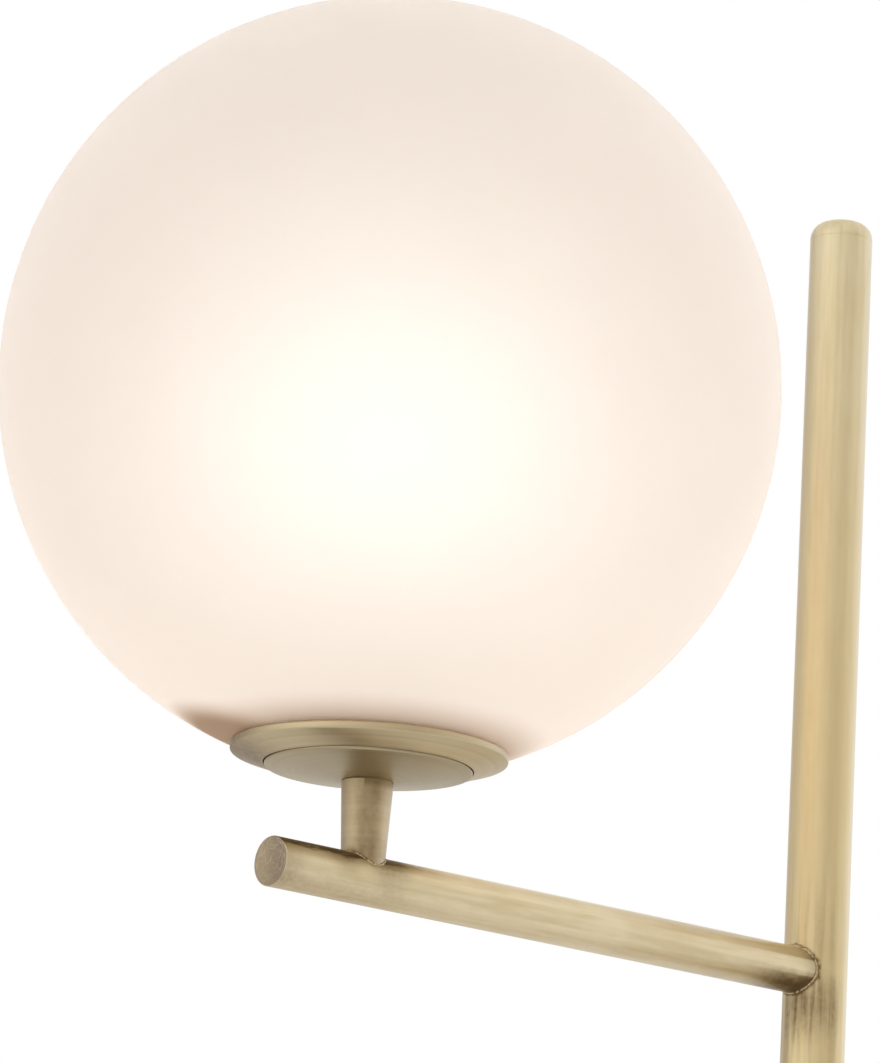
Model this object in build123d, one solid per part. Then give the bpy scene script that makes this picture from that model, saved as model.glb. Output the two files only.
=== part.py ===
from build123d import *
from math import sqrt
import os

# A floor lamp: a round weighted foot, an off-centre pole, a short arm brazed across it,
# and an opal glass globe that stands on a stem at the arm's free end.
# Millimetres. X runs along the arm towards the pole, Z is up, and the origin is the
# middle of the foot's underside. Heights named ABOVE_ARM start at the arm's axis.

# The lamp as a whole
ARM_HEIGHT = 1255.0
ARM_REACH = 244.0
POLE_TOP_ABOVE_ARM = 319.0
POLE_INSET = 35.0

# Clearances
PRESS_GAP = 0.1
BRAZE_GAP = 0.05
FREE_GAP = 0.3
THREAD_GAP = 0.35
SEAM_GAP = 0.4

# Screw heads
SLOT_WIDTH = 0.8
SMALL_SLOT_WIDTH = 0.6
HEAD_ROUNDING_RATIO = 0.4

# Foot
PAD_INSET = 6.0
PAD_THICK = 2.0
COVER_RADIUS = 140.0
COVER_LIFT = 1.0
COVER_HEIGHT = 24.0
COVER_WALL = 1.5
COVER_EDGE = 3.0
WEIGHT_GAP = 1.0
BOSS_WALL = 2.55
BOSS_LENGTH = 8.5
COVER_SCREWS = 3
COVER_SCREW_START_ANGLE = 90.0
COVER_SCREW_INSET = 40.0
COVER_SCREW_RADIUS = 1.95
COVER_SCREW_LENGTH = 8.0
COVER_SCREW_HEAD_RADIUS = 4.0
COVER_SCREW_HEAD = 2.5
COVER_SCREW_SKIN = 1.5

# Cord inlet and strain relief in the foot
CORD_HEIGHT = 9.5
CORD_BORE = 3.6
BUSHING_WALL = 2.4
BUSHING_FLANGE_WIDTH = 2.0
BUSHING_FLANGE_THICK = 2.0
BUSHING_BARB_STEP = 0.6
BUSHING_BARB_LENGTH = 1.0
BUSHING_BARB_GAP = 0.4
BUSHING_NOSE_STEP = 0.6
BUSHING_BEVEL = 0.8
BUSHING_DEPTH = 6.0
CHANNEL_SIDE_GAP = 0.9
CHANNEL_TOP_GAP = 0.4
CLAMP_FROM_POLE = 20.0
CLAMP_WIDTH = 8.0
CLAMP_LEDGE = 6.0
CLAMP_THICK = 2.0
CLAMP_CORNER = 2.0
CLAMP_ABOVE_PAD = 1.0
CLAMP_RECESS_GAP = 1.0
CLAMP_SCREW_RADIUS = 1.5
CLAMP_SCREW_LENGTH = 9.0
CLAMP_SCREW_HEAD_RADIUS = 2.8
CLAMP_HEAD_GAP = 0.2

# Terminals and earth in the foot
POCKET_INTO_BORE = 1.5
POCKET_NEAR_GAP = 6.5
POCKET_FAR_GAP = 5.5
POCKET_SIDE_GAP = 5.0
BLOCK_ABOVE_PAD = 2.5
BLOCK_LENGTH = 26.0
BLOCK_DEPTH = 13.5
BLOCK_CORNER = 1.0
BLOCK_POLES = 3
BLOCK_POLE_PITCH = 5.6
BLOCK_END_WALLS = 1.2
BLOCK_ENTRY_RADIUS = 1.7
BLOCK_SCREW_RADIUS = 1.6
BLOCK_SCREW_SPREAD = 15.0
BLOCK_SCREW_SUNK = 0.4
BLOCK_SCREW_END_GAP = 0.15
BLOCK_SLOT_DEPTH = 0.8
EARTH_SEAT_DROP = 4.0
EARTH_SCREW_RADIUS = 2.0
EARTH_SCREW_LENGTH = 7.0
EARTH_HEAD_RADIUS = 3.6
EARTH_HEAD = 2.4
EARTH_TAG_RADIUS = 4.4
EARTH_TAG_THICK = 0.8
EARTH_RECESS_GAP = 1.0
EARTH_FROM_POLE = (-9.0, -20.0)

# Lead inside the lamp
LEAD_RADIUS = 2.25
LEAD_PAD_GAP = 1.75
LEAD_STUD_GAP = 1.25
LEAD_PIPE_GAP = 1.25
LEAD_STEM_GAP = 1.5
LEAD_FOOT_BEND = 5.0
LEAD_ASIDE = 6.0
LEAD_ASIDE_FROM = 175.0
LEAD_ASIDE_OVER = 60.0
LEAD_ASIDE_BEND = 300.0
LEAD_BELOW_ARM_AXIS = 4.0
LEAD_ARM_BEND = 18.0
LEAD_STEM_BEND = 11.0

# Fixing of the pole to the foot
STUD_RADIUS = 6.0
STUD_END = 0.5
STUD_IN_POLE = 26.0
FOOT_NUT_FLATS = 19.0
FOOT_NUT_THICK = 5.5
FOOT_WASHER_RADIUS = 13.0
FOOT_WASHER_THICK = 1.5
FOOT_BORE_GAP = 1.5
FOOT_PLUG_LENGTH = 40.0

# Pole
POLE_RADIUS = 13.0
POLE_WALL = 1.5
UPPER_COUPLER_BELOW_ARM = 199.0
COUPLER_LENGTH = 50.0
COUPLER_RING = 1.0
COUPLER_RING_SHY = 0.4
COUPLER_WALL = 4.4
CAP_HEIGHT = 8.0
CAP_STRAIGHT = 1.0
CAP_SPIGOT = 12.0

# Arm
ARM_RADIUS = 9.5
ARM_WALL = 1.25
ARM_OVERHANG = 44.7
ARM_CAP_THICK = 3.0
ARM_CAP_BEVEL = 0.3
ARM_HOLE_RADIUS = 5.0
POLE_HOLE_LEDGE = 1.25

# Stem
STEM_FOOT_RADIUS = 8.0
STEM_TOP_RADIUS = 9.9
STEM_TOP = 37.3
NIPPLE_RADIUS = 5.0
NIPPLE_SUNK = 12.0
NIPPLE_PROUD = 1.0

# Globe: glass, and the metal collar that carries it
GLASS_RADIUS = 150.0
GLASS_WALL = 3.0
GLASS_HOLE = 44.0
GLASS_ABOVE_PLATE = 3.9
COLLAR_SEAT_WIDTH = 8.6
COLLAR_RIM_WALL = 1.6
COLLAR_RIM = 2.9
COLLAR_RIM_ROUNDING = 0.7
COLLAR_CONE = 4.2
COLLAR_DROP = 1.2
COLLAR_STEP_THICK = 3.0
COLLAR_HOLE_GAP = 1.2
COLLAR_LEDGE = 2.3
COLLAR_NECK_WALL = 4.15
COLLAR_NECK = 5.0
GASKET_THICK = 1.3
CLAMP_RING_GRIP = 3.0
CLAMP_RING_HOLE_GAP = 0.4
SEAL_SECTION = 0.7
SEAL_RING_GAP = 0.9

# Holder plate, which the globe's collar is screwed on
PLATE_CONE = 4.7
PLATE_EDGE = 2.0
PLATE_BEVEL = 0.4
PLATE_LEDGE = 3.4
THREAD_RING_WALL = 3.0
THREAD_RING_HEIGHT = 8.0
FLANGE_THICK = 3.0
FLANGE_LIP = 2.5
RING_SCREWS = 3
RING_SCREW_INSET = 5.5
RING_SCREW_RADIUS = 1.45
RING_SCREW_SUNK = 3.0
RING_SCREW_HEAD_RADIUS = 2.2
RING_SCREW_HEAD = 1.6
PLATE_WASHER_RADIUS = 9.0
PLATE_WASHER_THICK = 1.0
PLATE_NUT_FLATS = 14.0
PLATE_NUT_THICK = 4.0
RISER_RADIUS = 8.0
RISER_LENGTH = 20.0

# Bulb
SCREW_PITCH = 3.629
BULB_TURNS = 5
BULB_CAP_RADIUS = 13.1
BULB_THREAD_DEPTH = 0.8
BULB_TIP_RADIUS = 5.0
BULB_TIP_HEIGHT = 2.0
BULB_TIP_ROUNDING = 1.2
BULB_INSULATOR_RADIUS = 11.0
BULB_INSULATOR_HEIGHT = 3.2
BULB_INSULATOR_LEDGE = 0.5
BULB_CAP_BAND = 4.0
BULB_NECK_STEP = 0.8
BULB_NECK_FLARE = 1.2
BULB_NECK_HEIGHT = 4.0
BULB_BODY_HEIGHT = 28.0
BULB_RIM_HEIGHT = 3.0
BULB_RADIUS = 30.0
BULB_SHOULDER = 1.6
BULB_SHELL = 1.2

# Lampholder, standing on the riser
HOLDER_CAP_FOOT_RADIUS = 10.0
HOLDER_CAP_HEIGHT = 10.0
HOLDER_CAP_FLOOR = 3.0
HOLDER_WALL = 2.2
HOLDER_BEVEL = 1.0
HOLDER_LIP_WIDTH = 1.6
HOLDER_LIP_GAP = 1.6
HOLDER_LIP_THICK = 2.0
INSERT_ABOVE_CAP = 6.0
INSERT_THICK = 11.0
SHELL_GAP = 0.7
SHELL_WALL = 0.6
SHELL_HEIGHT = 21.0
SHELL_BELOW_LIP = 2.0
TONGUE_RADIUS = 4.0
TONGUE_THICK = 2.5

# Places in the foot
POLE_X = COVER_RADIUS - POLE_INSET
GLOBE_X = POLE_X - ARM_REACH
POLE_FOOT = COVER_HEIGHT
COVER_CEILING = COVER_HEIGHT - COVER_WALL
WEIGHT_RADIUS = COVER_RADIUS - COVER_WALL - WEIGHT_GAP
BOSS_RADIUS = COVER_SCREW_RADIUS + BOSS_WALL
COVER_SCREW_SEAT = COVER_CEILING - BOSS_LENGTH - COVER_SCREW_SKIN
BUSHING_NECK = CORD_BORE + BUSHING_WALL
BUSHING_BARB = BUSHING_NECK + BUSHING_BARB_STEP
BUSHING_FLANGE = BUSHING_NECK + BUSHING_FLANGE_WIDTH
CHANNEL_WIDTH = 2 * (BUSHING_BARB + CHANNEL_SIDE_GAP)
CHANNEL_TOP = CORD_HEIGHT + BUSHING_BARB + CHANNEL_TOP_GAP
CLAMP_LENGTH = CHANNEL_WIDTH + 2 * CLAMP_LEDGE
CLAMP_FOOT = PAD_THICK + CLAMP_ABOVE_PAD
CLAMP_SEAT = CLAMP_FOOT + CLAMP_THICK
LEAD_FOOT_HEIGHT = PAD_THICK + LEAD_PAD_GAP + LEAD_RADIUS
STUD_FOOT = LEAD_FOOT_HEIGHT + LEAD_RADIUS + LEAD_STUD_GAP
STUD_TOP = POLE_FOOT + STUD_IN_POLE
FOOT_NUT_FOOT = STUD_FOOT + STUD_END
FOOT_WASHER_FOOT = FOOT_NUT_FOOT + FOOT_NUT_THICK
FOOT_BORE_TOP = FOOT_WASHER_FOOT + FOOT_WASHER_THICK
FOOT_BORE_RADIUS = FOOT_WASHER_RADIUS + FOOT_BORE_GAP
EARTH_SEAT = FOOT_BORE_TOP - EARTH_SEAT_DROP
POCKET_START = FOOT_BORE_RADIUS - POCKET_INTO_BORE
BLOCK_START = POCKET_START + POCKET_NEAR_GAP
BLOCK_WIDTH = BLOCK_POLES * BLOCK_POLE_PITCH + BLOCK_END_WALLS
BLOCK_FOOT = PAD_THICK + BLOCK_ABOVE_PAD
POCKET_TOP = BLOCK_FOOT + BLOCK_DEPTH
PIPE_BORE = LEAD_RADIUS + LEAD_PIPE_GAP

# Places on the pole
POLE_TOP = ARM_HEIGHT + POLE_TOP_ABOVE_ARM
POLE_BORE = POLE_RADIUS - POLE_WALL
UPPER_COUPLER = ARM_HEIGHT - UPPER_COUPLER_BELOW_ARM
LOWER_COUPLER = (POLE_FOOT + UPPER_COUPLER) / 2

# Radii of the collar, ring and plate, all set by the hole in the glass
COLLAR_RADIUS = GLASS_HOLE + COLLAR_SEAT_WIDTH
COLLAR_SEAT_RADIUS = GLASS_HOLE - COLLAR_HOLE_GAP
COLLAR_NECK_RADIUS = COLLAR_SEAT_RADIUS - COLLAR_LEDGE
COLLAR_THREAD = COLLAR_NECK_RADIUS - COLLAR_NECK_WALL
THREAD_RING_RADIUS = COLLAR_THREAD - THREAD_GAP
PLATE_RADIUS = THREAD_RING_RADIUS + PLATE_LEDGE
RING_SCREW_CIRCLE_RADIUS = THREAD_RING_RADIUS - RING_SCREW_INSET
FLANGE_RADIUS = RING_SCREW_CIRCLE_RADIUS - FLANGE_LIP

# Heights above the arm's axis
PLATE_EDGE_FOOT = STEM_TOP + PLATE_CONE
PLATE_TOP = PLATE_EDGE_FOOT + PLATE_EDGE
COLLAR_FOOT = PLATE_TOP - COLLAR_DROP
COLLAR_RIM_FOOT = COLLAR_FOOT + COLLAR_CONE
COLLAR_RIM_TOP = COLLAR_RIM_FOOT + COLLAR_RIM
COLLAR_STEP = PLATE_TOP + 2 * (SEAL_SECTION + FREE_GAP)
COLLAR_SHOULDER = COLLAR_STEP + COLLAR_STEP_THICK
COLLAR_TOP = COLLAR_SHOULDER + COLLAR_NECK
GLOBE_CENTRE_ABOVE_ARM = PLATE_TOP + GLASS_ABOVE_PLATE + sqrt(GLASS_RADIUS**2 - GLASS_HOLE**2)
RISER_FOOT = PLATE_TOP + PLATE_WASHER_THICK + PLATE_NUT_THICK
HOLDER_FOOT = RISER_FOOT + RISER_LENGTH
HOLDER_BODY_FOOT = HOLDER_FOOT + HOLDER_CAP_HEIGHT
INSERT_FOOT = HOLDER_BODY_FOOT + INSERT_ABOVE_CAP
INSERT_TOP = INSERT_FOOT + INSERT_THICK
HOLDER_TOP = INSERT_TOP + SHELL_HEIGHT + SHELL_BELOW_LIP + HOLDER_LIP_THICK
BULB_TIP = INSERT_TOP + TONGUE_THICK + FREE_GAP
BULB_CAP_FOOT = BULB_TIP + BULB_TIP_HEIGHT + BULB_INSULATOR_HEIGHT
BULB_CAP_TOP = BULB_CAP_FOOT + BULB_TURNS * SCREW_PITCH + BULB_CAP_BAND
BULB_BODY_TOP = BULB_CAP_TOP + BULB_BODY_HEIGHT

# Radii of the lampholder and bulb, set by the bulb's cap
SHELL_RADIUS = BULB_CAP_RADIUS + SHELL_GAP + SHELL_WALL
HOLDER_LIP = SHELL_RADIUS + HOLDER_LIP_GAP
HOLDER_INSIDE = HOLDER_LIP + HOLDER_LIP_WIDTH
HOLDER_RADIUS = HOLDER_INSIDE + HOLDER_WALL
BULB_NECK_RADIUS = BULB_CAP_RADIUS + BULB_NECK_STEP
BULB_BODY_TOP_RADIUS = BULB_RADIUS - BULB_SHOULDER


def at_pole(height=0.0):
    return Location((POLE_X, 0, height))


def at_stem(height=0.0):
    return Location((GLOBE_X, 0, ARM_HEIGHT + height))


def turned(*outline):
    """A solid turned about the Z axis from its outline of (radius, height) corners."""
    edge = Polyline(*[(radius, 0, height) for radius, height in outline], close=True)
    return revolve(make_face(edge), Axis.Z)


def rod(radius, foot, top):
    return Pos(0, 0, foot) * Cylinder(radius, top - foot, align=(Align.CENTER, Align.CENTER, Align.MIN))


def tube(radius, bore, foot, top):
    return rod(radius, foot, top) - rod(bore, foot, top)


def block(size_x, size_y, foot, top):
    return Pos(0, 0, foot) * Box(size_x, size_y, top - foot, align=(Align.CENTER, Align.CENTER, Align.MIN))


def nut(flats, bore, foot, thick):
    sides = extrude(Pos(0, 0, foot) * RegularPolygon(flats / 2, 6, major_radius=False), thick)
    return sides - rod(bore, foot, foot + thick)


def pan_screw(radius, length, head_radius, head, slot=SLOT_WIDTH):
    """A screw with its head on top, its shank down, and the head's seat at height 0."""
    rounding = head * HEAD_ROUNDING_RATIO
    top = fillet(rod(head_radius, 0, head).edges().group_by(Axis.Z)[-1], rounding)
    return top + rod(radius, -length, 0) - block(2 * head_radius, slot, head / 2, head)


def globe_height(sphere, radius):
    """How high above the arm's axis the lower half of a sphere about the globe's centre lies."""
    return GLOBE_CENTRE_ABOVE_ARM - sqrt(sphere**2 - radius**2)


def cover_screw_places():
    circle = COVER_RADIUS - COVER_SCREW_INSET
    return PolarLocations(circle, COVER_SCREWS, start_angle=COVER_SCREW_START_ANGLE)


def clamp_screw_places(height):
    x = POLE_X + CLAMP_FROM_POLE
    y = (CHANNEL_WIDTH + CLAMP_LEDGE) / 2
    return [Location((x, side * y, height)) for side in (-1, 1)]


def base_pad():
    return rod(COVER_RADIUS - PAD_INSET, 0, PAD_THICK)


def base_cover():
    """Pressed brass dish over the weight, open below, with three tapped bosses inside."""
    outside = rod(COVER_RADIUS, COVER_LIFT, COVER_HEIGHT)
    outside = fillet(outside.edges().group_by(Axis.Z)[-1], COVER_EDGE)
    inside = rod(COVER_RADIUS - COVER_WALL, COVER_LIFT, COVER_CEILING)
    inside = fillet(inside.edges().group_by(Axis.Z)[-1], COVER_EDGE - COVER_WALL)
    boss = tube(BOSS_RADIUS, COVER_SCREW_RADIUS, COVER_CEILING - BOSS_LENGTH, COVER_CEILING)
    cover = outside - inside + [place * boss for place in cover_screw_places()]
    cover -= at_pole() * rod(STUD_RADIUS + FREE_GAP, COVER_CEILING, COVER_HEIGHT)
    inlet = Cylinder(BUSHING_NECK + PRESS_GAP, 4 * COVER_WALL, rotation=(0, 90, 0))
    return cover - Pos(COVER_RADIUS, 0, CORD_HEIGHT) * inlet


def base_weight():
    """Cast iron disc, hollowed below for the pole's nut, the cord, its clamp and the terminals."""
    weight = rod(WEIGHT_RADIUS, PAD_THICK, COVER_CEILING)
    weight = fillet(weight.edges().group_by(Axis.Z)[-1], COVER_EDGE)
    weight -= at_pole() * rod(STUD_RADIUS + FREE_GAP, PAD_THICK, COVER_CEILING)
    weight -= at_pole() * rod(FOOT_BORE_RADIUS, PAD_THICK, FOOT_BORE_TOP)
    channel = block(WEIGHT_RADIUS, CHANNEL_WIDTH, PAD_THICK, CHANNEL_TOP)
    weight -= Pos(POLE_X + WEIGHT_RADIUS / 2, 0, 0) * channel
    recess_x = CLAMP_WIDTH + 2 * CLAMP_RECESS_GAP
    recess_y = CLAMP_LENGTH + 2 * CLAMP_RECESS_GAP
    weight -= Pos(POLE_X + CLAMP_FROM_POLE, 0, 0) * block(recess_x, recess_y, PAD_THICK, CLAMP_SEAT)
    for place in clamp_screw_places(CLAMP_SEAT):
        weight -= place * rod(CLAMP_SCREW_RADIUS, 0, CLAMP_SCREW_LENGTH)
    pocket_x = BLOCK_WIDTH + 2 * POCKET_SIDE_GAP
    pocket_y = POCKET_NEAR_GAP + BLOCK_LENGTH + POCKET_FAR_GAP
    pocket = block(pocket_x, pocket_y, PAD_THICK, POCKET_TOP)
    weight -= Pos(POLE_X, POCKET_START + pocket_y / 2, 0) * pocket
    for place in cover_screw_places():
        weight -= place * rod(BOSS_RADIUS + FREE_GAP, COVER_CEILING - BOSS_LENGTH, COVER_CEILING)
        weight -= place * rod(COVER_SCREW_RADIUS + FREE_GAP, PAD_THICK, COVER_CEILING)
        weight -= place * rod(COVER_SCREW_HEAD_RADIUS + 2 * FREE_GAP, PAD_THICK, COVER_SCREW_SEAT)
    recess = rod(EARTH_TAG_RADIUS + EARTH_RECESS_GAP, PAD_THICK, EARTH_SEAT)
    thread = rod(EARTH_SCREW_RADIUS, EARTH_SEAT, EARTH_SEAT + EARTH_SCREW_LENGTH)
    return weight - at_pole() * Pos(*EARTH_FROM_POLE, 0) * (recess + thread)


def base_screws():
    screw = pan_screw(
        COVER_SCREW_RADIUS, COVER_SCREW_LENGTH, COVER_SCREW_HEAD_RADIUS, COVER_SCREW_HEAD
    )
    upward = Pos(0, 0, COVER_SCREW_SEAT) * Rot(180, 0, 0) * screw
    return Compound([place * upward for place in cover_screw_places()])


def cable_bushing():
    """Snap-in bushing through the cover's wall, bored for a round mains cord."""
    barb_top = -COVER_WALL - BUSHING_BARB_GAP
    body = turned(
        (CORD_BORE, -BUSHING_DEPTH),
        (BUSHING_NECK - BUSHING_NOSE_STEP, -BUSHING_DEPTH),
        (BUSHING_BARB, barb_top - BUSHING_BARB_LENGTH),
        (BUSHING_BARB, barb_top),
        (BUSHING_NECK, barb_top),
        (BUSHING_NECK, 0),
        (BUSHING_FLANGE, 0),
        (BUSHING_FLANGE, BUSHING_FLANGE_THICK - BUSHING_BEVEL),
        (BUSHING_FLANGE - BUSHING_BEVEL, BUSHING_FLANGE_THICK),
        (CORD_BORE, BUSHING_FLANGE_THICK),
    )
    return Pos(COVER_RADIUS, 0, CORD_HEIGHT) * Rot(0, 90, 0) * body


def cord_clamp():
    """Steel bridge under the cord, screwed up to the weight."""
    bar = block(CLAMP_WIDTH, CLAMP_LENGTH, CLAMP_FOOT, CLAMP_SEAT)
    bar = Pos(POLE_X + CLAMP_FROM_POLE, 0, 0) * fillet(bar.edges().filter_by(Axis.Z), CLAMP_CORNER)
    for place in clamp_screw_places(CLAMP_FOOT):
        bar -= place * rod(CLAMP_SCREW_RADIUS + PRESS_GAP, 0, CLAMP_THICK)
    return bar


def cord_clamp_screws():
    upward = Rot(180, 0, 0) * pan_screw(
        CLAMP_SCREW_RADIUS,
        CLAMP_SCREW_LENGTH,
        CLAMP_SCREW_HEAD_RADIUS,
        CLAMP_ABOVE_PAD - CLAMP_HEAD_GAP,
        SMALL_SLOT_WIDTH,
    )
    return Compound([place * upward for place in clamp_screw_places(CLAMP_FOOT)])


def block_pole_places():
    first = -(BLOCK_POLES - 1) / 2 * BLOCK_POLE_PITCH
    return [first + index * BLOCK_POLE_PITCH for index in range(BLOCK_POLES)]


def terminal_block():
    """Three-way screw terminal, fixed to the ceiling of its pocket."""
    entry_height = BLOCK_FOOT + BLOCK_DEPTH / 2
    body = block(BLOCK_WIDTH, BLOCK_LENGTH, BLOCK_FOOT, POCKET_TOP)
    body = fillet(body.edges().filter_by(Axis.Z), BLOCK_CORNER)
    entry = Pos(0, 0, entry_height) * Cylinder(BLOCK_ENTRY_RADIUS, BLOCK_LENGTH, rotation=(90, 0, 0))
    thread = rod(BLOCK_SCREW_RADIUS, BLOCK_FOOT, entry_height - BLOCK_ENTRY_RADIUS)
    for x in block_pole_places():
        body -= Pos(x, 0, 0) * entry
        for side in (-1, 1):
            body -= Pos(x, side * BLOCK_SCREW_SPREAD / 2, 0) * thread
    return Pos(POLE_X, BLOCK_START + BLOCK_LENGTH / 2, 0) * body


def terminal_screws():
    foot = BLOCK_FOOT + BLOCK_SCREW_SUNK
    top = BLOCK_FOOT + BLOCK_DEPTH / 2 - BLOCK_ENTRY_RADIUS - BLOCK_SCREW_END_GAP
    screw = rod(BLOCK_SCREW_RADIUS - PRESS_GAP, foot, top)
    screw -= block(2 * BLOCK_SCREW_RADIUS, SMALL_SLOT_WIDTH, foot, foot + BLOCK_SLOT_DEPTH)
    middle = BLOCK_START + BLOCK_LENGTH / 2
    return Compound(
        [
            Pos(POLE_X + x, middle + side * BLOCK_SCREW_SPREAD / 2, 0) * screw
            for x in block_pole_places()
            for side in (-1, 1)
        ]
    )


def earth_screw():
    """Earth screw with its ring tag, driven up into the weight."""
    screw = pan_screw(EARTH_SCREW_RADIUS, EARTH_SCREW_LENGTH, EARTH_HEAD_RADIUS, EARTH_HEAD)
    tag = tube(EARTH_TAG_RADIUS, EARTH_SCREW_RADIUS, -EARTH_TAG_THICK, 0)
    seat = Pos(0, 0, EARTH_SEAT - EARTH_TAG_THICK) * Rot(180, 0, 0)
    return at_pole() * Pos(*EARTH_FROM_POLE, 0) * seat * (screw + tag)


def foot_stud():
    """Hollow threaded stud that clamps the pole to the foot and lets the lead through."""
    return at_pole() * tube(STUD_RADIUS, PIPE_BORE, STUD_FOOT, STUD_TOP)


def foot_washer():
    bore = STUD_RADIUS + PRESS_GAP
    return at_pole() * tube(FOOT_WASHER_RADIUS, bore, FOOT_WASHER_FOOT, FOOT_BORE_TOP)


def foot_nut():
    return at_pole() * nut(FOOT_NUT_FLATS, STUD_RADIUS + PRESS_GAP, FOOT_NUT_FOOT, FOOT_NUT_THICK)


def pole_foot_plug():
    """Turned plug in the pole's lower end, tapped for the stud."""
    top = POLE_FOOT + FOOT_PLUG_LENGTH
    plug = rod(POLE_BORE - PRESS_GAP, POLE_FOOT, top) - rod(STUD_RADIUS + PRESS_GAP, POLE_FOOT, STUD_TOP)
    return at_pole() * (plug - rod(PIPE_BORE, STUD_TOP, top))


def pole_tube(foot, top):
    return at_pole() * tube(POLE_RADIUS, POLE_BORE, foot, top)


def pole_coupler(height):
    """Threaded sleeve between two pole lengths, with a fine ring that shows at the joint."""
    half = COUPLER_LENGTH / 2
    radius = POLE_BORE - PRESS_GAP
    sleeve = rod(radius, height - half, height + half)
    sleeve += rod(POLE_RADIUS - COUPLER_RING_SHY, height - COUPLER_RING / 2, height + COUPLER_RING / 2)
    return at_pole() * (sleeve - rod(radius - COUPLER_WALL, height - half, height + half))


def pole_upper():
    """Top length of the pole, drilled where the arm is brazed on."""
    foot = UPPER_COUPLER + COUPLER_RING / 2
    hole = along_arm(ARM_RADIUS - ARM_WALL - POLE_HOLE_LEDGE, POLE_X - 2 * POLE_RADIUS, POLE_X)
    return pole_tube(foot, POLE_TOP - CAP_HEIGHT) - hole


def pole_cap():
    """Rounded plug that closes the pole's top."""
    dome = rod(POLE_RADIUS, POLE_TOP - CAP_HEIGHT, POLE_TOP)
    dome = fillet(dome.edges().group_by(Axis.Z)[-1], CAP_HEIGHT - CAP_STRAIGHT)
    foot = POLE_TOP - CAP_HEIGHT - CAP_SPIGOT
    return at_pole() * (dome + rod(POLE_BORE - PRESS_GAP, foot, POLE_TOP - CAP_HEIGHT))


def along_arm(radius, start, end):
    """A rod on the arm's axis between two places along X."""
    middle = Pos((start + end) / 2, 0, ARM_HEIGHT)
    return middle * Cylinder(radius, end - start, rotation=(0, 90, 0))


def arm_end():
    return GLOBE_X - ARM_OVERHANG


def arm_tube():
    """Arm, its right end hollowed to the pole's round, drilled on top under the stem."""
    arm = along_arm(ARM_RADIUS, arm_end(), POLE_X)
    arm -= along_arm(ARM_RADIUS - ARM_WALL, arm_end(), POLE_X)
    arm -= at_pole(ARM_HEIGHT) * Cylinder(POLE_RADIUS + BRAZE_GAP, 4 * ARM_RADIUS)
    return arm - at_stem() * rod(ARM_HOLE_RADIUS, 0, 2 * ARM_RADIUS)


def arm_cap():
    """Flat disc in the arm's free end, flush with the tube."""
    cap = along_arm(ARM_RADIUS - ARM_WALL - BRAZE_GAP, arm_end(), arm_end() + ARM_CAP_THICK)
    return chamfer(cap.edges().sort_by(Axis.X)[0], ARM_CAP_BEVEL)


def stem():
    """Tapered stem, its foot hollowed to sit across the arm, tapped at its top."""
    body = turned((0, 0), (STEM_FOOT_RADIUS, 0), (STEM_TOP_RADIUS, STEM_TOP), (0, STEM_TOP))
    body -= rod(LEAD_RADIUS + LEAD_STEM_GAP, 0, STEM_TOP)
    body -= rod(NIPPLE_RADIUS + PRESS_GAP, STEM_TOP - NIPPLE_SUNK, STEM_TOP)
    saddle = Cylinder(ARM_RADIUS + BRAZE_GAP, 4 * STEM_TOP_RADIUS, rotation=(0, 90, 0))
    return at_stem() * (body - saddle)


def stem_nipple():
    """Hollow threaded pipe from the stem through the plate and riser into the lampholder."""
    top = HOLDER_FOOT + HOLDER_CAP_FLOOR + NIPPLE_PROUD
    return at_stem() * tube(NIPPLE_RADIUS, PIPE_BORE, STEM_TOP - NIPPLE_SUNK, top)


def ring_screw_places():
    return PolarLocations(RING_SCREW_CIRCLE_RADIUS, RING_SCREWS)


def holder_plate():
    """Turned brass plate: a shallow cone below, a bevelled edge, flat on top."""
    plate = turned(
        (NIPPLE_RADIUS + PRESS_GAP, STEM_TOP),
        (STEM_TOP_RADIUS, STEM_TOP),
        (PLATE_RADIUS - PLATE_BEVEL, PLATE_EDGE_FOOT - PLATE_BEVEL / 2),
        (PLATE_RADIUS, PLATE_EDGE_FOOT + PLATE_BEVEL / 2),
        (PLATE_RADIUS, PLATE_TOP),
        (NIPPLE_RADIUS + PRESS_GAP, PLATE_TOP),
    )
    for place in ring_screw_places():
        plate -= place * rod(RING_SCREW_RADIUS, PLATE_TOP - RING_SCREW_SUNK, PLATE_TOP)
    return at_stem() * plate


def thread_ring():
    """Aluminium ring on the plate, threaded outside for the globe's collar."""
    inside = THREAD_RING_RADIUS - THREAD_RING_WALL
    flange_top = PLATE_TOP + FLANGE_THICK
    ring = turned(
        (FLANGE_RADIUS, PLATE_TOP),
        (THREAD_RING_RADIUS, PLATE_TOP),
        (THREAD_RING_RADIUS, PLATE_TOP + THREAD_RING_HEIGHT),
        (inside, PLATE_TOP + THREAD_RING_HEIGHT),
        (inside, flange_top),
        (FLANGE_RADIUS, flange_top),
    )
    for place in ring_screw_places():
        ring -= place * rod(RING_SCREW_RADIUS + PRESS_GAP, PLATE_TOP, flange_top)
    return at_stem() * ring


def thread_ring_screws():
    length = RING_SCREW_SUNK + FLANGE_THICK
    screw = pan_screw(
        RING_SCREW_RADIUS, length, RING_SCREW_HEAD_RADIUS, RING_SCREW_HEAD, SMALL_SLOT_WIDTH
    )
    seated = Pos(0, 0, PLATE_TOP + FLANGE_THICK) * screw
    return Compound([at_stem() * place * seated for place in ring_screw_places()])


def plate_washer():
    top = PLATE_TOP + PLATE_WASHER_THICK
    return at_stem() * tube(PLATE_WASHER_RADIUS, NIPPLE_RADIUS + PRESS_GAP, PLATE_TOP, top)


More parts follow.
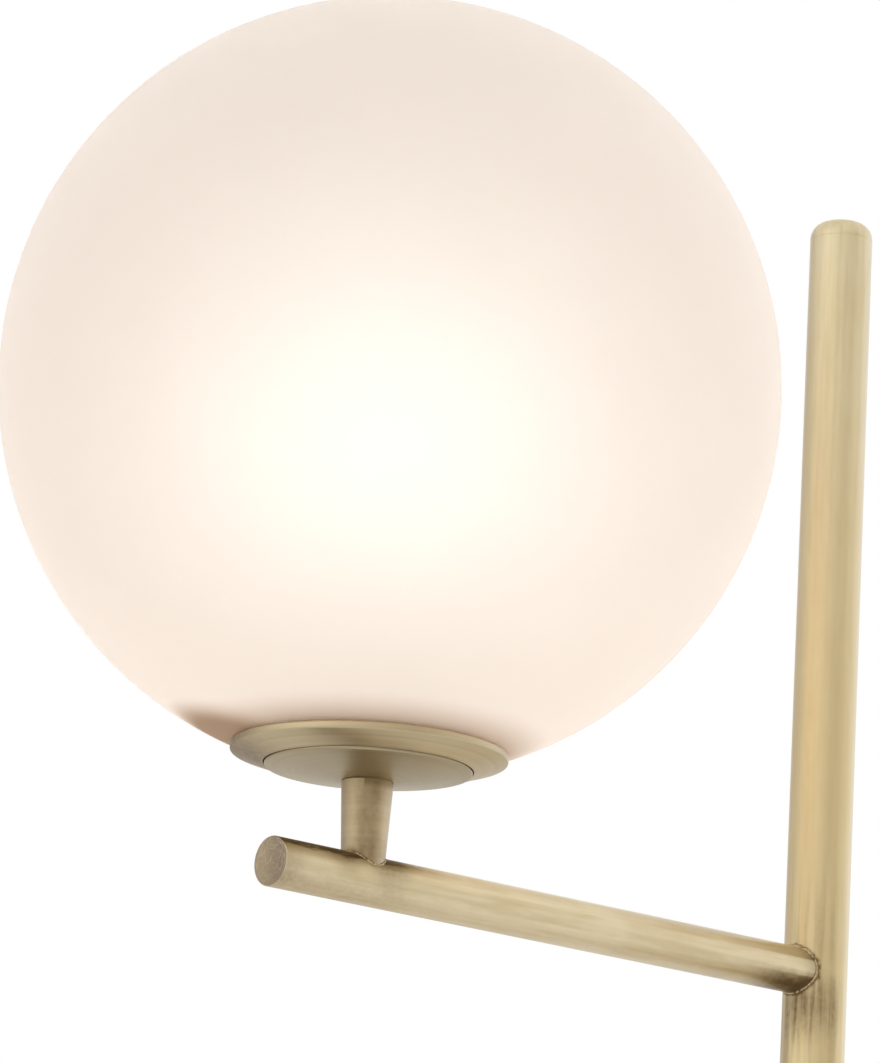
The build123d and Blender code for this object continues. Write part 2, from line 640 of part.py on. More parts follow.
def plate_nut():
    foot = PLATE_TOP + PLATE_WASHER_THICK
    return at_stem() * nut(PLATE_NUT_FLATS, NIPPLE_RADIUS + PRESS_GAP, foot, PLATE_NUT_THICK)


def holder_riser():
    return at_stem() * tube(RISER_RADIUS, NIPPLE_RADIUS + PRESS_GAP, RISER_FOOT, HOLDER_FOOT)


def lampholder_cap():
    """Lower half of the lampholder, screwed on the nipple."""
    top = HOLDER_BODY_FOOT
    floor = HOLDER_FOOT + HOLDER_CAP_FLOOR
    return at_stem() * turned(
        (NIPPLE_RADIUS + PRESS_GAP, HOLDER_FOOT),
        (HOLDER_CAP_FOOT_RADIUS, HOLDER_FOOT),
        (HOLDER_RADIUS, top - HOLDER_WALL),
        (HOLDER_RADIUS, top),
        (HOLDER_INSIDE, top),
        (HOLDER_CAP_FOOT_RADIUS, floor),
        (NIPPLE_RADIUS + PRESS_GAP, floor),
    )


def lampholder_body():
    """Upper shell of the lampholder, drawn in at its mouth."""
    return at_stem() * turned(
        (HOLDER_INSIDE, HOLDER_BODY_FOOT),
        (HOLDER_RADIUS, HOLDER_BODY_FOOT),
        (HOLDER_RADIUS, HOLDER_TOP - HOLDER_BEVEL),
        (HOLDER_RADIUS - HOLDER_BEVEL, HOLDER_TOP),
        (HOLDER_LIP, HOLDER_TOP),
        (HOLDER_LIP, HOLDER_TOP - HOLDER_LIP_THICK),
        (HOLDER_INSIDE, HOLDER_TOP - HOLDER_LIP_THICK),
    )


def lampholder_insert():
    """Porcelain core, which carries the screw shell and the contact."""
    return at_stem() * rod(HOLDER_INSIDE - PRESS_GAP, INSERT_FOOT, INSERT_TOP)


def lampholder_shell():
    return at_stem() * tube(SHELL_RADIUS, SHELL_RADIUS - SHELL_WALL, INSERT_TOP, INSERT_TOP + SHELL_HEIGHT)


def lampholder_contact():
    return at_stem() * rod(TONGUE_RADIUS, INSERT_TOP, INSERT_TOP + TONGUE_THICK)


def globe_arc(sphere, from_radius, to_radius):
    """Arc in the XZ plane on the lower half of a sphere about the globe's centre."""
    middle = (from_radius + to_radius) / 2
    points = [(r, 0, globe_height(sphere, r)) for r in (from_radius, middle, to_radius)]
    return ThreePointArc(*points)


def globe_collar():
    """Turned brass collar: rim, glass seat, shoulder inside the glass, thread and bore."""
    rim_inside = COLLAR_RADIUS - COLLAR_RIM_WALL
    bore = PLATE_RADIUS + SEAM_GAP
    seat = GLASS_RADIUS + GASKET_THICK + 2 * FREE_GAP
    seat_arc = globe_arc(seat, COLLAR_SEAT_RADIUS, rim_inside)
    outside = Polyline(
        (rim_inside, 0, globe_height(seat, rim_inside)),
        (rim_inside, 0, COLLAR_RIM_TOP),
        (COLLAR_RADIUS, 0, COLLAR_RIM_TOP),
        (COLLAR_RADIUS, 0, COLLAR_RIM_FOOT),
        (bore, 0, COLLAR_FOOT),
        (bore, 0, COLLAR_STEP),
        (COLLAR_THREAD, 0, COLLAR_STEP),
        (COLLAR_THREAD, 0, COLLAR_TOP),
        (COLLAR_NECK_RADIUS, 0, COLLAR_TOP),
        (COLLAR_NECK_RADIUS, 0, COLLAR_SHOULDER),
        (COLLAR_SEAT_RADIUS, 0, COLLAR_SHOULDER),
        (COLLAR_SEAT_RADIUS, 0, globe_height(seat, COLLAR_SEAT_RADIUS)),
    )
    collar = revolve(make_face([*outside.edges(), *seat_arc.edges()]), Axis.Z)
    rim_edges = collar.edges().filter_by(GeomType.CIRCLE).sort_by(lambda edge: edge.radius)[-2:]
    return at_stem() * fillet(rim_edges, COLLAR_RIM_ROUNDING)


def globe_gasket():
    """Silicone ring between the collar's seat and the glass."""
    inner = GLASS_RADIUS + FREE_GAP
    outer = inner + GASKET_THICK
    near = COLLAR_SEAT_RADIUS + 2 * FREE_GAP
    far = COLLAR_RADIUS - COLLAR_RIM_WALL - 2 * FREE_GAP
    ends = [
        Line((radius, 0, globe_height(inner, radius)), (radius, 0, globe_height(outer, radius)))
        for radius in (near, far)
    ]
    arcs = [globe_arc(sphere, near, far) for sphere in (inner, outer)]
    section = make_face([edge for line in (*ends, *arcs) for edge in line.edges()])
    return at_stem() * revolve(section, Axis.Z)


def globe_clamp_ring():
    """Ring screwed on the collar's neck from above, which holds the glass down."""
    inner = COLLAR_NECK_RADIUS + FREE_GAP
    lip = GLASS_HOLE - CLAMP_RING_HOLE_GAP
    lip_foot = COLLAR_SHOULDER + FREE_GAP
    outer = GLASS_HOLE + CLAMP_RING_GRIP
    glass_inside = GLASS_RADIUS - GLASS_WALL
    return at_stem() * turned(
        (inner, lip_foot),
        (lip, lip_foot),
        (lip, globe_height(glass_inside, GLASS_HOLE) + FREE_GAP),
        (outer, globe_height(glass_inside, outer) + FREE_GAP),
        (outer, COLLAR_TOP),
        (inner, COLLAR_TOP),
    )


def collar_seal():
    """Rubber ring under the collar's step, round the thread ring."""
    middle = (PLATE_TOP + COLLAR_STEP) / 2
    return at_stem(middle) * Torus(THREAD_RING_RADIUS + SEAL_RING_GAP + SEAL_SECTION, SEAL_SECTION)


def globe_glass():
    """Opal glass globe, open below, with an even wall."""
    inside = GLASS_RADIUS - GLASS_WALL
    top = GLOBE_CENTRE_ABOVE_ARM + GLASS_RADIUS

    def shell_arc(sphere):
        foot = (GLASS_HOLE, 0, globe_height(sphere, GLASS_HOLE))
        side = (sphere, 0, GLOBE_CENTRE_ABOVE_ARM)
        return ThreePointArc(foot, side, (0, 0, GLOBE_CENTRE_ABOVE_ARM + sphere))

    lip = Line(
        (GLASS_HOLE, 0, globe_height(inside, GLASS_HOLE)),
        (GLASS_HOLE, 0, globe_height(GLASS_RADIUS, GLASS_HOLE)),
    )
    crown = Line((0, 0, top - GLASS_WALL), (0, 0, top))
    arcs = [shell_arc(sphere) for sphere in (GLASS_RADIUS, inside)]
    section = make_face([edge for line in (*arcs, lip, crown) for edge in line.edges()])
    return at_stem() * revolve(section, Axis.Z)


def bulb_contact():
    tip = rod(BULB_TIP_RADIUS, BULB_TIP, BULB_TIP + BULB_TIP_HEIGHT)
    return at_stem() * fillet(tip.edges().group_by(Axis.Z)[0], BULB_TIP_ROUNDING)


def bulb_insulator():
    """Cone between the bulb's centre contact and its screw cap."""
    foot = BULB_TIP + BULB_TIP_HEIGHT + PRESS_GAP
    return at_stem() * turned(
        (0, foot),
        (BULB_TIP_RADIUS + BULB_INSULATOR_LEDGE, foot),
        (BULB_INSULATOR_RADIUS, BULB_CAP_FOOT),
        (0, BULB_CAP_FOOT),
    )


def bulb_cap():
    """Rolled screw cap of the bulb, its thread drawn as even ribs."""
    crest = BULB_CAP_RADIUS
    root = crest - BULB_THREAD_DEPTH
    outline = [(0, BULB_CAP_FOOT), (root, BULB_CAP_FOOT)]
    for turn in range(BULB_TURNS):
        start = BULB_CAP_FOOT + turn * SCREW_PITCH
        outline += [(crest, start + SCREW_PITCH / 2), (root, start + SCREW_PITCH)]
    outline += [(crest, BULB_CAP_TOP - BULB_CAP_BAND / 2), (crest, BULB_CAP_TOP), (0, BULB_CAP_TOP)]
    return at_stem() * turned(*outline)


def bulb_body():
    """Plastic housing of the bulb's driver, widening to the diffuser."""
    return at_stem() * turned(
        (0, BULB_CAP_TOP),
        (BULB_NECK_RADIUS, BULB_CAP_TOP),
        (BULB_NECK_RADIUS + BULB_NECK_FLARE, BULB_CAP_TOP + BULB_NECK_HEIGHT),
        (BULB_BODY_TOP_RADIUS, BULB_BODY_TOP - BULB_RIM_HEIGHT),
        (BULB_BODY_TOP_RADIUS, BULB_BODY_TOP),
        (0, BULB_BODY_TOP),
    )


def bulb_diffuser():
    """Hollow plastic dome of the bulb, seated on its housing."""
    foot = BULB_BODY_TOP
    rise = sqrt(BULB_RADIUS**2 - BULB_BODY_TOP_RADIUS**2)
    centre = foot + rise
    inside = BULB_RADIUS - BULB_SHELL
    inside_foot = sqrt(inside**2 - rise**2)

    def dome(sphere, foot_radius):
        return ThreePointArc((foot_radius, 0, foot), (sphere, 0, centre), (0, 0, centre + sphere))

    edges = [
        dome(BULB_RADIUS, BULB_BODY_TOP_RADIUS),
        dome(inside, inside_foot),
        Line((inside_foot, 0, foot), (BULB_BODY_TOP_RADIUS, 0, foot)),
        Line((0, 0, centre + inside), (0, 0, centre + BULB_RADIUS)),
    ]
    return at_stem() * revolve(make_face([edge for line in edges for edge in line.edges()]), Axis.Z)


def internal_lead():
    """Flex from the terminals up the pole, along the arm and up the stem to the lampholder."""
    lead_in_arm = ARM_HEIGHT - LEAD_BELOW_ARM_AXIS
    aside = POLE_X + LEAD_ASIDE
    aside_foot = ARM_HEIGHT - LEAD_ASIDE_FROM
    holder_end = ARM_HEIGHT + INSERT_FOOT
    route = FilletPolyline(
        (POLE_X, BLOCK_START, LEAD_FOOT_HEIGHT),
        (POLE_X, 0, LEAD_FOOT_HEIGHT),
        (POLE_X, 0, aside_foot),
        (aside, 0, aside_foot + LEAD_ASIDE_OVER),
        (aside, 0, lead_in_arm),
        (GLOBE_X, 0, lead_in_arm),
        (GLOBE_X, 0, holder_end),
        radius=[LEAD_FOOT_BEND, LEAD_ASIDE_BEND, LEAD_ASIDE_BEND, LEAD_ARM_BEND, LEAD_STEM_BEND],
    )
    start = Plane(origin=route @ 0, z_dir=route % 0)
    return sweep(start * Circle(LEAD_RADIUS), path=route)


PARTS = {
    "base_pad": base_pad,
    "base_weight": base_weight,
    "base_cover": base_cover,
    "base_screws": base_screws,
    "cable_bushing": cable_bushing,
    "cord_clamp": cord_clamp,
    "cord_clamp_screws": cord_clamp_screws,
    "terminal_block": terminal_block,
    "terminal_screws": terminal_screws,
    "earth_screw": earth_screw,
    "foot_stud": foot_stud,
    "foot_washer": foot_washer,
    "foot_nut": foot_nut,
    "pole_foot_plug": pole_foot_plug,
    "pole_lower": lambda: pole_tube(POLE_FOOT, LOWER_COUPLER - COUPLER_RING / 2),
    "pole_coupler_lower": lambda: pole_coupler(LOWER_COUPLER),
    "pole_middle": lambda: pole_tube(LOWER_COUPLER + COUPLER_RING / 2, UPPER_COUPLER - COUPLER_RING / 2),
    "pole_coupler_upper": lambda: pole_coupler(UPPER_COUPLER),
    "pole_upper": pole_upper,
    "pole_cap": pole_cap,
    "arm_tube": arm_tube,
    "arm_cap": arm_cap,
    "stem": stem,
    "stem_nipple": stem_nipple,
    "holder_plate": holder_plate,
    "thread_ring": thread_ring,
    "thread_ring_screws": thread_ring_screws,
    "plate_washer": plate_washer,
    "plate_nut": plate_nut,
    "holder_riser": holder_riser,
    "lampholder_cap": lampholder_cap,
    "lampholder_body": lampholder_body,
    "lampholder_insert": lampholder_insert,
    "lampholder_shell": lampholder_shell,
    "lampholder_contact": lampholder_contact,
    "collar_seal": collar_seal,
    "globe_gasket": globe_gasket,
    "globe_collar": globe_collar,
    "globe_clamp_ring": globe_clamp_ring,
    "globe_glass": globe_glass,
    "bulb_contact": bulb_contact,
    "bulb_insulator": bulb_insulator,
    "bulb_cap": bulb_cap,
    "bulb_body": bulb_body,
    "bulb_diffuser": bulb_diffuser,
    "internal_lead": internal_lead,
}

os.makedirs("parts", exist_ok=True)
for name, make in PARTS.items():
    export_step(make(), f"parts/{name}.step")
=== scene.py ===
from math import acos, ceil, cos, pi, radians, sin, sqrt, tan

import bmesh
import bpy
from mathutils import Matrix, Vector


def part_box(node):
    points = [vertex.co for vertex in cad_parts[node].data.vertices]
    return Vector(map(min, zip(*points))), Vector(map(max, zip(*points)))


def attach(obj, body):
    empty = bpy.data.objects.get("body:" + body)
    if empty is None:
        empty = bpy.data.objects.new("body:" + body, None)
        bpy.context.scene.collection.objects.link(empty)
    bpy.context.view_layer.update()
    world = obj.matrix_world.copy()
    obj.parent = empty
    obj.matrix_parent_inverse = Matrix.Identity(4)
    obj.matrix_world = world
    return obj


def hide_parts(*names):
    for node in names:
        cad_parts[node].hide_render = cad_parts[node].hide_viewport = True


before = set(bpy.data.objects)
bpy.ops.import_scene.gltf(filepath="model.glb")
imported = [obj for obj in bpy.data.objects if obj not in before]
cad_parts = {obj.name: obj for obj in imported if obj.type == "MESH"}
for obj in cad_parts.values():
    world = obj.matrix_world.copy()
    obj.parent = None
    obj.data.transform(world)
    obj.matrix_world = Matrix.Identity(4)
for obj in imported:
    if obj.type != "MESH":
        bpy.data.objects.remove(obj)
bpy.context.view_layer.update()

MM = 0.001


# The view: a camera on a low tripod to the left of the arm's free end, level with the
# middle of the pole, which looks up at the globe through a long lens.
EYE = Vector((-1.337, -1.4068, 0.9265))
EYE_TURN = radians(-41.1)
EYE_TILT = radians(14.11)
EYE_ROLL = radians(3.16)
EYE_LENS = 169.33


def placed(name, data):
    """A new object of the scene."""
    made = bpy.data.objects.new(name, data)
    bpy.context.scene.collection.objects.link(made)
    return made


camera_data = bpy.data.cameras.new("view")
camera_data.lens = EYE_LENS
camera = placed("view", camera_data)
camera.matrix_world = (
    Matrix.Translation(EYE)
    @ Matrix.Rotation(EYE_TURN, 4, "Z")
    @ Matrix.Rotation(pi / 2 + EYE_TILT, 4, "X")
    @ Matrix.Rotation(EYE_ROLL, 4, "Z")
)
bpy.context.scene.camera = camera
bpy.context.scene.view_settings.view_transform = "Standard"


# The studio: a white room, bright to the left of the lamp, brighter and cool to its right, and
# duller in front and behind, with a pale floor and two soft lamps. Brass mirrors the walls.
class Level:
    """A socket whose value takes part in sums as a number does."""

    def __init__(self, sketch, socket):
        self.sketch = sketch
        self.socket = socket

    def maths(self, operation, *terms):
        return self.sketch.node("ShaderNodeMath", {"operation": operation}, dict(enumerate(terms)))

    def __add__(self, other):
        return self.maths("ADD", self, other)

    def __sub__(self, other):
        return self.maths("SUBTRACT", self, other)

    def __rsub__(self, other):
        return self.maths("SUBTRACT", other, self)

    def __mul__(self, other):
        return self.maths("MULTIPLY", self, other)

    def __truediv__(self, other):
        return self.maths("DIVIDE", self, other)

    def __rtruediv__(self, other):
        return self.maths("DIVIDE", other, self)

    def __pow__(self, other):
        return self.maths("POWER", self, other)

    def or_larger(self, other):
        return self.maths("MAXIMUM", self, other)

    def bounded(self):
        """The level kept between 0 and 1."""
        return self.sketch.node("ShaderNodeClamp", {}, {"Value": self})

    __radd__ = __add__
    __rmul__ = __mul__


class Sketch:
    """A node tree, filled by one method."""

    def __init__(self, tree):
        self.tree = tree
        tree.nodes.clear()

    def node(self, kind, settings, inputs, output=0):
        """Adds a node, its settings, then its sockets' values or links, a list for many links."""
        made = self.tree.nodes.new(kind)
        for name, value in settings.items():
            setattr(made, name, value)
        for name, value in inputs.items():
            for part in value if isinstance(value, list) else [value]:
                if isinstance(part, Level):
                    self.tree.links.new(part.socket, made.inputs[name])
                else:
                    made.inputs[name].default_value = part
        return Level(self, made.outputs[output]) if made.outputs else None

    def vectors(self, operation, *terms, output=0):
        settings = {"operation": operation}
        return self.node("ShaderNodeVectorMath", settings, dict(enumerate(terms)), output)

    def blend(self, share, first, second):
        """The first colour where share is 0 and the second where it is 1."""
        return self.node(
            "ShaderNodeMix", {"data_type": "RGBA"}, {0: share, 6: first, 7: second}, output=2
        )


def paint(red, green, blue):
    """A colour as a screen shows it, from 0 to 255, as the linear colour that nodes take."""
    linear = [
        part / 12.92 if part <= 0.04045 else ((part + 0.055) / 1.055) ** 2.4
        for part in (red / 255, green / 255, blue / 255)
    ]
    return (*linear, 1.0)


WHITE = (1.0, 1.0, 1.0, 1.0)
ROOM_SOFTNESS = 0.95
WALL_PLAIN = paint(243, 240, 235)
# For each wall the way towards it, how narrow it is, and its paint.
WALLS = {
    "left": ((-1.0, 0.06, 0.15), 5.0, paint(255, 255, 252)),
    "right": ((1.0, 0.02, 0.05), 9.0, (1.15, 1.22, 1.4, 1.0)),
    "front": ((-0.1, -0.99, -0.05), 7.0, paint(194, 186, 174)),
    "behind": ((-0.14, 0.99, 0.0), 6.0, paint(196, 193, 200)),
}

world = bpy.data.worlds.new("studio")
world.use_nodes = True
bpy.context.scene.world = world
room = Sketch(world.node_tree)
looking = room.node("ShaderNodeTexCoord", {}, {}, output="Generated")
wall_paint = WALL_PLAIN
for way, narrowness, colour in WALLS.values():
    facing = room.vectors("DOT_PRODUCT", looking, Vector(way).normalized(), output="Value")
    wall_paint = room.blend(facing.or_larger(0.0) ** narrowness, wall_paint, colour)
walls = room.node("ShaderNodeBackground", {}, {"Color": wall_paint})
backdrop = room.node("ShaderNodeBackground", {}, {"Color": WHITE})
air = room.node("ShaderNodeBackground", {}, {"Color": WHITE, "Strength": ROOM_SOFTNESS})
seen = room.node("ShaderNodeLightPath", {}, {}, output="Is Camera Ray")
mirrored = room.node("ShaderNodeLightPath", {}, {}, output="Is Glossy Ray")
shine = room.node("ShaderNodeMixShader", {}, {0: mirrored, 1: air, 2: walls})
whole_room = room.node("ShaderNodeMixShader", {}, {0: seen, 1: shine, 2: backdrop})
room.node("ShaderNodeOutputWorld", {}, {"Surface": whole_room})

FLOOR_SIZE = 16.0
FLOOR_PAINT = paint(228, 225, 221)
FLOOR_ROUGHNESS = 0.8

bpy.ops.mesh.primitive_plane_add(size=FLOOR_SIZE)
floor = bpy.context.object
floor.name = "floor"
floor_paint = bpy.data.materials.new("floor_paint")
floor_paint.use_nodes = True
floor_surface = floor_paint.node_tree.nodes["Principled BSDF"].inputs
floor_surface["Base Color"].default_value = FLOOR_PAINT
floor_surface["Roughness"].default_value = FLOOR_ROUGHNESS
floor.data.materials.append(floor_paint)

# For each lamp its place, size and power.
SOFT_LAMPS = {
    "key": ((-3.4, 0.2, 2.4), 3.0, 6.0),
    "fill": ((2.6, -2.3, 1.8), 3.0, 20.0),
}
LAMPS_AIM = Vector((-0.05, 0.0, 1.2))
for name, (place, size, power) in SOFT_LAMPS.items():
    lamp_data = bpy.data.lights.new(name, "AREA")
    lamp_data.size = size
    lamp_data.energy = power
    lamp = placed(name, lamp_data)
    lamp.location = place
    lamp.rotation_euler = (LAMPS_AIM - Vector(place)).to_track_quat("-Z", "Y").to_euler()
    lamp.visible_glossy = name == "key"


# The foot's cover: pressed brass, which hides all the rest of the foot. It is finished on a
# lathe, so its brush marks are rings.
class Finish(Sketch):
    """A material whose surface is one shiny or dull stuff, drawn in Object coordinates."""

    def __init__(self, name):
        self.material = bpy.data.materials.new(name)
        self.material.use_nodes = True
        super().__init__(self.material.node_tree)

    def place(self, centre=(0, 0, 0), stretch=(1, 1, 1)):
        """The surface's own coordinates in metres from centre, stretched along each axis."""
        point = self.node("ShaderNodeTexCoord", {}, {}, output="Object")
        return self.vectors("MULTIPLY", self.vectors("SUBTRACT", point, centre), stretch)

    def reading(self, axis, centre=(0, 0, 0)):
        """How far the surface lies from centre along one axis."""
        return self.node("ShaderNodeSeparateXYZ", {}, {0: self.place(centre)}, output=axis)

    def ring_place(self, centre, stretch):
        """Coordinates outward from, and along, a vertical axis through centre."""
        x, y, z = [self.reading(axis, centre) for axis in "XYZ"]
        radius = (x * x + y * y) ** 0.5
        return self.node(
            "ShaderNodeCombineXYZ", {}, {"X": radius * stretch, "Y": z * stretch, "Z": 0.0}
        )

    def noise(self, place, scale, detail=2.0, roughness=0.5):
        return self.node(
            "ShaderNodeTexNoise",
            {},
            {"Vector": place, "Scale": scale, "Detail": detail, "Roughness": roughness},
        )

    def step(self, level, low, high):
        """0 where level is at low, 1 where it is at high, smooth between."""
        return self.node(
            "ShaderNodeMapRange",
            {"interpolation_type": "SMOOTHSTEP"},
            {"Value": level, "From Min": low, "From Max": high},
        )

    def away(self, centre, stretch=(1, 1, 1)):
        """How far the surface lies from centre, with each axis stretched."""
        return self.vectors("LENGTH", self.place(centre, stretch), output="Value")

    def near(self, centre, reach):
        """1 at centre, falling to 0 at the distance reach."""
        return self.step(self.away(centre), reach, 0.0)

    def relief(self, height, depth, strength=0.5):
        return self.node(
            "ShaderNodeBump", {}, {"Height": height, "Distance": depth, "Strength": strength}
        )

    def surface(self, **inputs):
        """Ends the material with a Principled surface. A _ in a name stands for a space."""
        named = {name.replace("_", " "): value for name, value in inputs.items()}
        shader = self.node("ShaderNodeBsdfPrincipled", {}, named)
        self.node("ShaderNodeOutputMaterial", {}, {"Surface": shader})
        return self.material


BRASS_LIGHT = paint(230, 217, 184)
BRASS_DEEP = paint(217, 202, 164)
# The brown of patina, which also stands for painted shade on the plate and the stem's top.
BRASS_PATINA_AND_SHADE = paint(128, 105, 70)
BRASS_HEATED = paint(224, 202, 148)
# How fine the broad marks and the flecks are, as shares of the finest marks.
BROAD_MARKS = 0.22
FLECK_MARKS = 0.26
FLECK_SHORTNESS = 190.0
WEAR_FINENESS = 420.0
MARK_DEPTH = 0.02 * MM
WAX_ROUGHNESS = 0.3


def brass(
    name, streaks, patches, patina_and_shade=None, heat=None,
    light=BRASS_LIGHT, deep=BRASS_DEEP, coarse=0.4, wax=0.5,
):
    """Waxed satin brass. streaks(finish, scale) gives the place that its brush marks follow,
    the patina function how brown it is, from patina and, for some parts, from painted shade,
    and heat(finish) how far brazing has turned it golden."""
    finish = Finish(name)
    fine = finish.noise(streaks(finish, 1.0), 1.0, detail=3.0, roughness=0.7)
    broad = finish.noise(streaks(finish, BROAD_MARKS), 1.0)
    flecks = finish.noise(streaks(finish, FLECK_MARKS, FLECK_SHORTNESS), 1.0, detail=3.0)
    cloud = finish.noise(finish.place(), patches)
    tone = finish.step(broad * 0.35 + cloud * 0.35 + flecks * 0.3, 0.38, 0.62)
    colour = finish.blend(tone, light, deep)
    if heat:
        colour = finish.blend(heat(finish), colour, BRASS_HEATED)
    # Browner where the given function says: patina, and on the plate and the stem's top also
    # painted shade.
    if patina_and_shade:
        worn = finish.noise(finish.place(), WEAR_FINENESS, detail=4.0)
        brown = (patina_and_shade(finish) * (0.55 + worn * 0.9)).bounded()
        colour = finish.blend(brown, colour, BRASS_PATINA_AND_SHADE)
    return finish.surface(
        Base_Color=colour,
        Metallic=1.0,
        Roughness=coarse + fine * 0.12 - tone * 0.04,
        Normal=finish.relief(fine, MARK_DEPTH),
        Coat_Weight=wax,
        Coat_Roughness=WAX_ROUGHNESS,
    )


STRAIGHT_FINENESS = 1600.0
RING_FINENESS = 2200.0
MARK_SHORTNESS = 14.0


def along(axis):
    """Brush marks that run straight along one axis, fine across it."""

    def streaks(finish, scale, shortness=MARK_SHORTNESS):
        stretch = [STRAIGHT_FINENESS * scale] * 3
        stretch[axis] = shortness * scale
        return finish.place(stretch=tuple(stretch))

    return streaks


def round_about(x):
    """Brush marks in rings about a vertical axis at x. A ring is endless, so never short."""

    def streaks(finish, scale, shortness=None):
        return finish.ring_place((x, 0, 0), RING_FINENESS * scale)

    return streaks


ARC_STEP = radians(15)
CREASE = 35
ON_AXIS = 0.01 * MM


def softened(outline):
    """Outline corners (radius, height, rounding) as points, with arcs for the rounded ones."""
    points = []
    for index, (radius, height, rounding) in enumerate(outline):
        corner = Vector((radius, height))
        if rounding == 0:
            points.append(corner)
            continue
        before = Vector(outline[index - 1][:2]) - corner
        after = Vector(outline[(index + 1) % len(outline)][:2]) - corner
        half = before.angle(after) / 2
        before.normalize()
        after.normalize()
        centre = corner + (before + after).normalized() * rounding / sin(half)
        start = corner + before * rounding / tan(half) - centre
        end = corner + after * rounding / tan(half) - centre
        count = max(2, ceil((pi - 2 * half) / ARC_STEP))
        for step in range(count + 1):
            points.append(centre + start.slerp(end, step / count) * rounding)
    return points


def bridged(build, rings, closed):
    """Joins rings of corners by faces. A ring of one corner is a point on the axis."""
    following = rings[1:] + rings[:1] if closed else rings[1:]
    for near, far in zip(rings, following):
        count = max(len(near), len(far))
        if count == 1:
            continue
        for step in range(count):
            other = (step + 1) % count
            corners = [
                near[step % len(near)],
                near[other % len(near)],
                far[other % len(far)],
                far[step % len(far)],
            ]
            build.faces.new(list(dict.fromkeys(corners)))


def ringed(name, rings, closed=True, crease=CREASE):
    """A smooth mesh with sharp creases, whose faces run from ring to ring and face outwards."""
    build = bmesh.new()
    bridged(build, [[build.verts.new(corner) for corner in ring] for ring in rings], closed)
    bmesh.ops.recalc_face_normals(build, faces=build.faces)
    for face in build.faces:
        face.smooth = True
    mesh = bpy.data.meshes.new(name)
    build.to_mesh(mesh)
    build.free()
    mesh.set_sharp_from_angle(angle=radians(crease))
    return mesh


def round_places(x, radius, count, first=0.0):
    """Places (x, y) evenly round a vertical axis at x."""
    angles = [first + 2 * pi * step / count for step in range(count)]
    return [(x + radius * cos(a), radius * sin(a)) for a in angles]


def turned(name, outline, x, steps=96, crease=CREASE):
    """A mesh turned about a vertical axis at x from a closed outline."""
    rings = []
    for radius, height in softened(outline):
        places = [(x, 0)] if radius < ON_AXIS else round_places(x, radius, steps)
        rings.append([(*place, height) for place in places])
    return ringed(name, rings, crease=crease)


def piece(mesh, material, slot, *nodes, body="stand"):
    """Puts a mesh in the scene as a piece that rides on body and stands for the CAD nodes."""
    made = placed(mesh.name, mesh)
    if not mesh.materials:
        mesh.materials.append(material)
    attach(made, body)
    if nodes:
        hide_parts(*nodes)


def dressed(material, *nodes):
    """Gives CAD nodes that keep their shape a finish."""
    for node in nodes:
        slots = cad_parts[node].data.materials
        slots.clear()
        slots.append(material)


def upright(node):
    """The axis x, radius, foot and top of a round CAD node that stands upright."""
    low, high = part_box(node)
    return (low.x + high.x) / 2, (high.x - low.x) / 2, low.z, high.z


COVER_WALL = 1.5 * MM
COVER_EDGE = 3.0 * MM
COVER_HEM = 0.6 * MM
COVER_INNER_HEM = 0.3 * MM
COVER_STEPS = 192

foot_x, cover_radius, cover_foot, cover_top = upright("base_cover")
cover_inside = cover_radius - COVER_WALL
cover_outline = [
    (0, cover_top - COVER_WALL, 0),
    (cover_inside, cover_top - COVER_WALL, COVER_EDGE - COVER_WALL),
    (cover_inside, cover_foot, COVER_INNER_HEM),
    (cover_radius, cover_foot, COVER_HEM),
    (cover_radius, cover_top, COVER_EDGE),
    (0, cover_top, 0),
]
cover_mesh = turned("base_cover_spun", cover_outline, foot_x, COVER_STEPS)
cover_brass = brass("foot_brass", round_about(foot_x), patches=9.0)
piece(cover_mesh, cover_brass, "brushed_brass", "base_cover")


# The weight inside the foot: a rough cast iron disc on a rubber pad, with a rubber bushing in
# the cover's wall where the cord enters.
def plain(name, colour, shade, scale, roughness, metallic=0.0, depth=0.03 * MM):
    """A finish with a fine grain: two close colours, and a grain that is also felt."""
    finish = Finish(name)
    grain = finish.noise(finish.place(), scale, detail=4.0, roughness=0.6)
    return finish.surface(
        Base_Color=finish.blend(finish.step(grain, 0.35, 0.65), colour, shade),
        Roughness=roughness + grain * 0.15,
        Metallic=metallic,
        Normal=finish.relief(grain, depth),
    )


cast_iron = plain(
    "weight_iron", paint(62, 62, 64), paint(86, 85, 84),
    scale=700.0, roughness=0.55, metallic=0.6, depth=0.2 * MM,
)
dressed(cast_iron, "base_weight")
rubber = plain("pad_rubber", paint(38, 38, 38), paint(52, 51, 50), scale=900.0, roughness=0.7)
dressed(rubber, "base_pad", "cable_bushing")


# The steel in the foot: a stud, washer and nut that pull the pole down on the cover, a bridge
# that grips the cord, and slotted screws, all zinc plated. The terminals are grey plastic.
GROWN_CREASE = 40


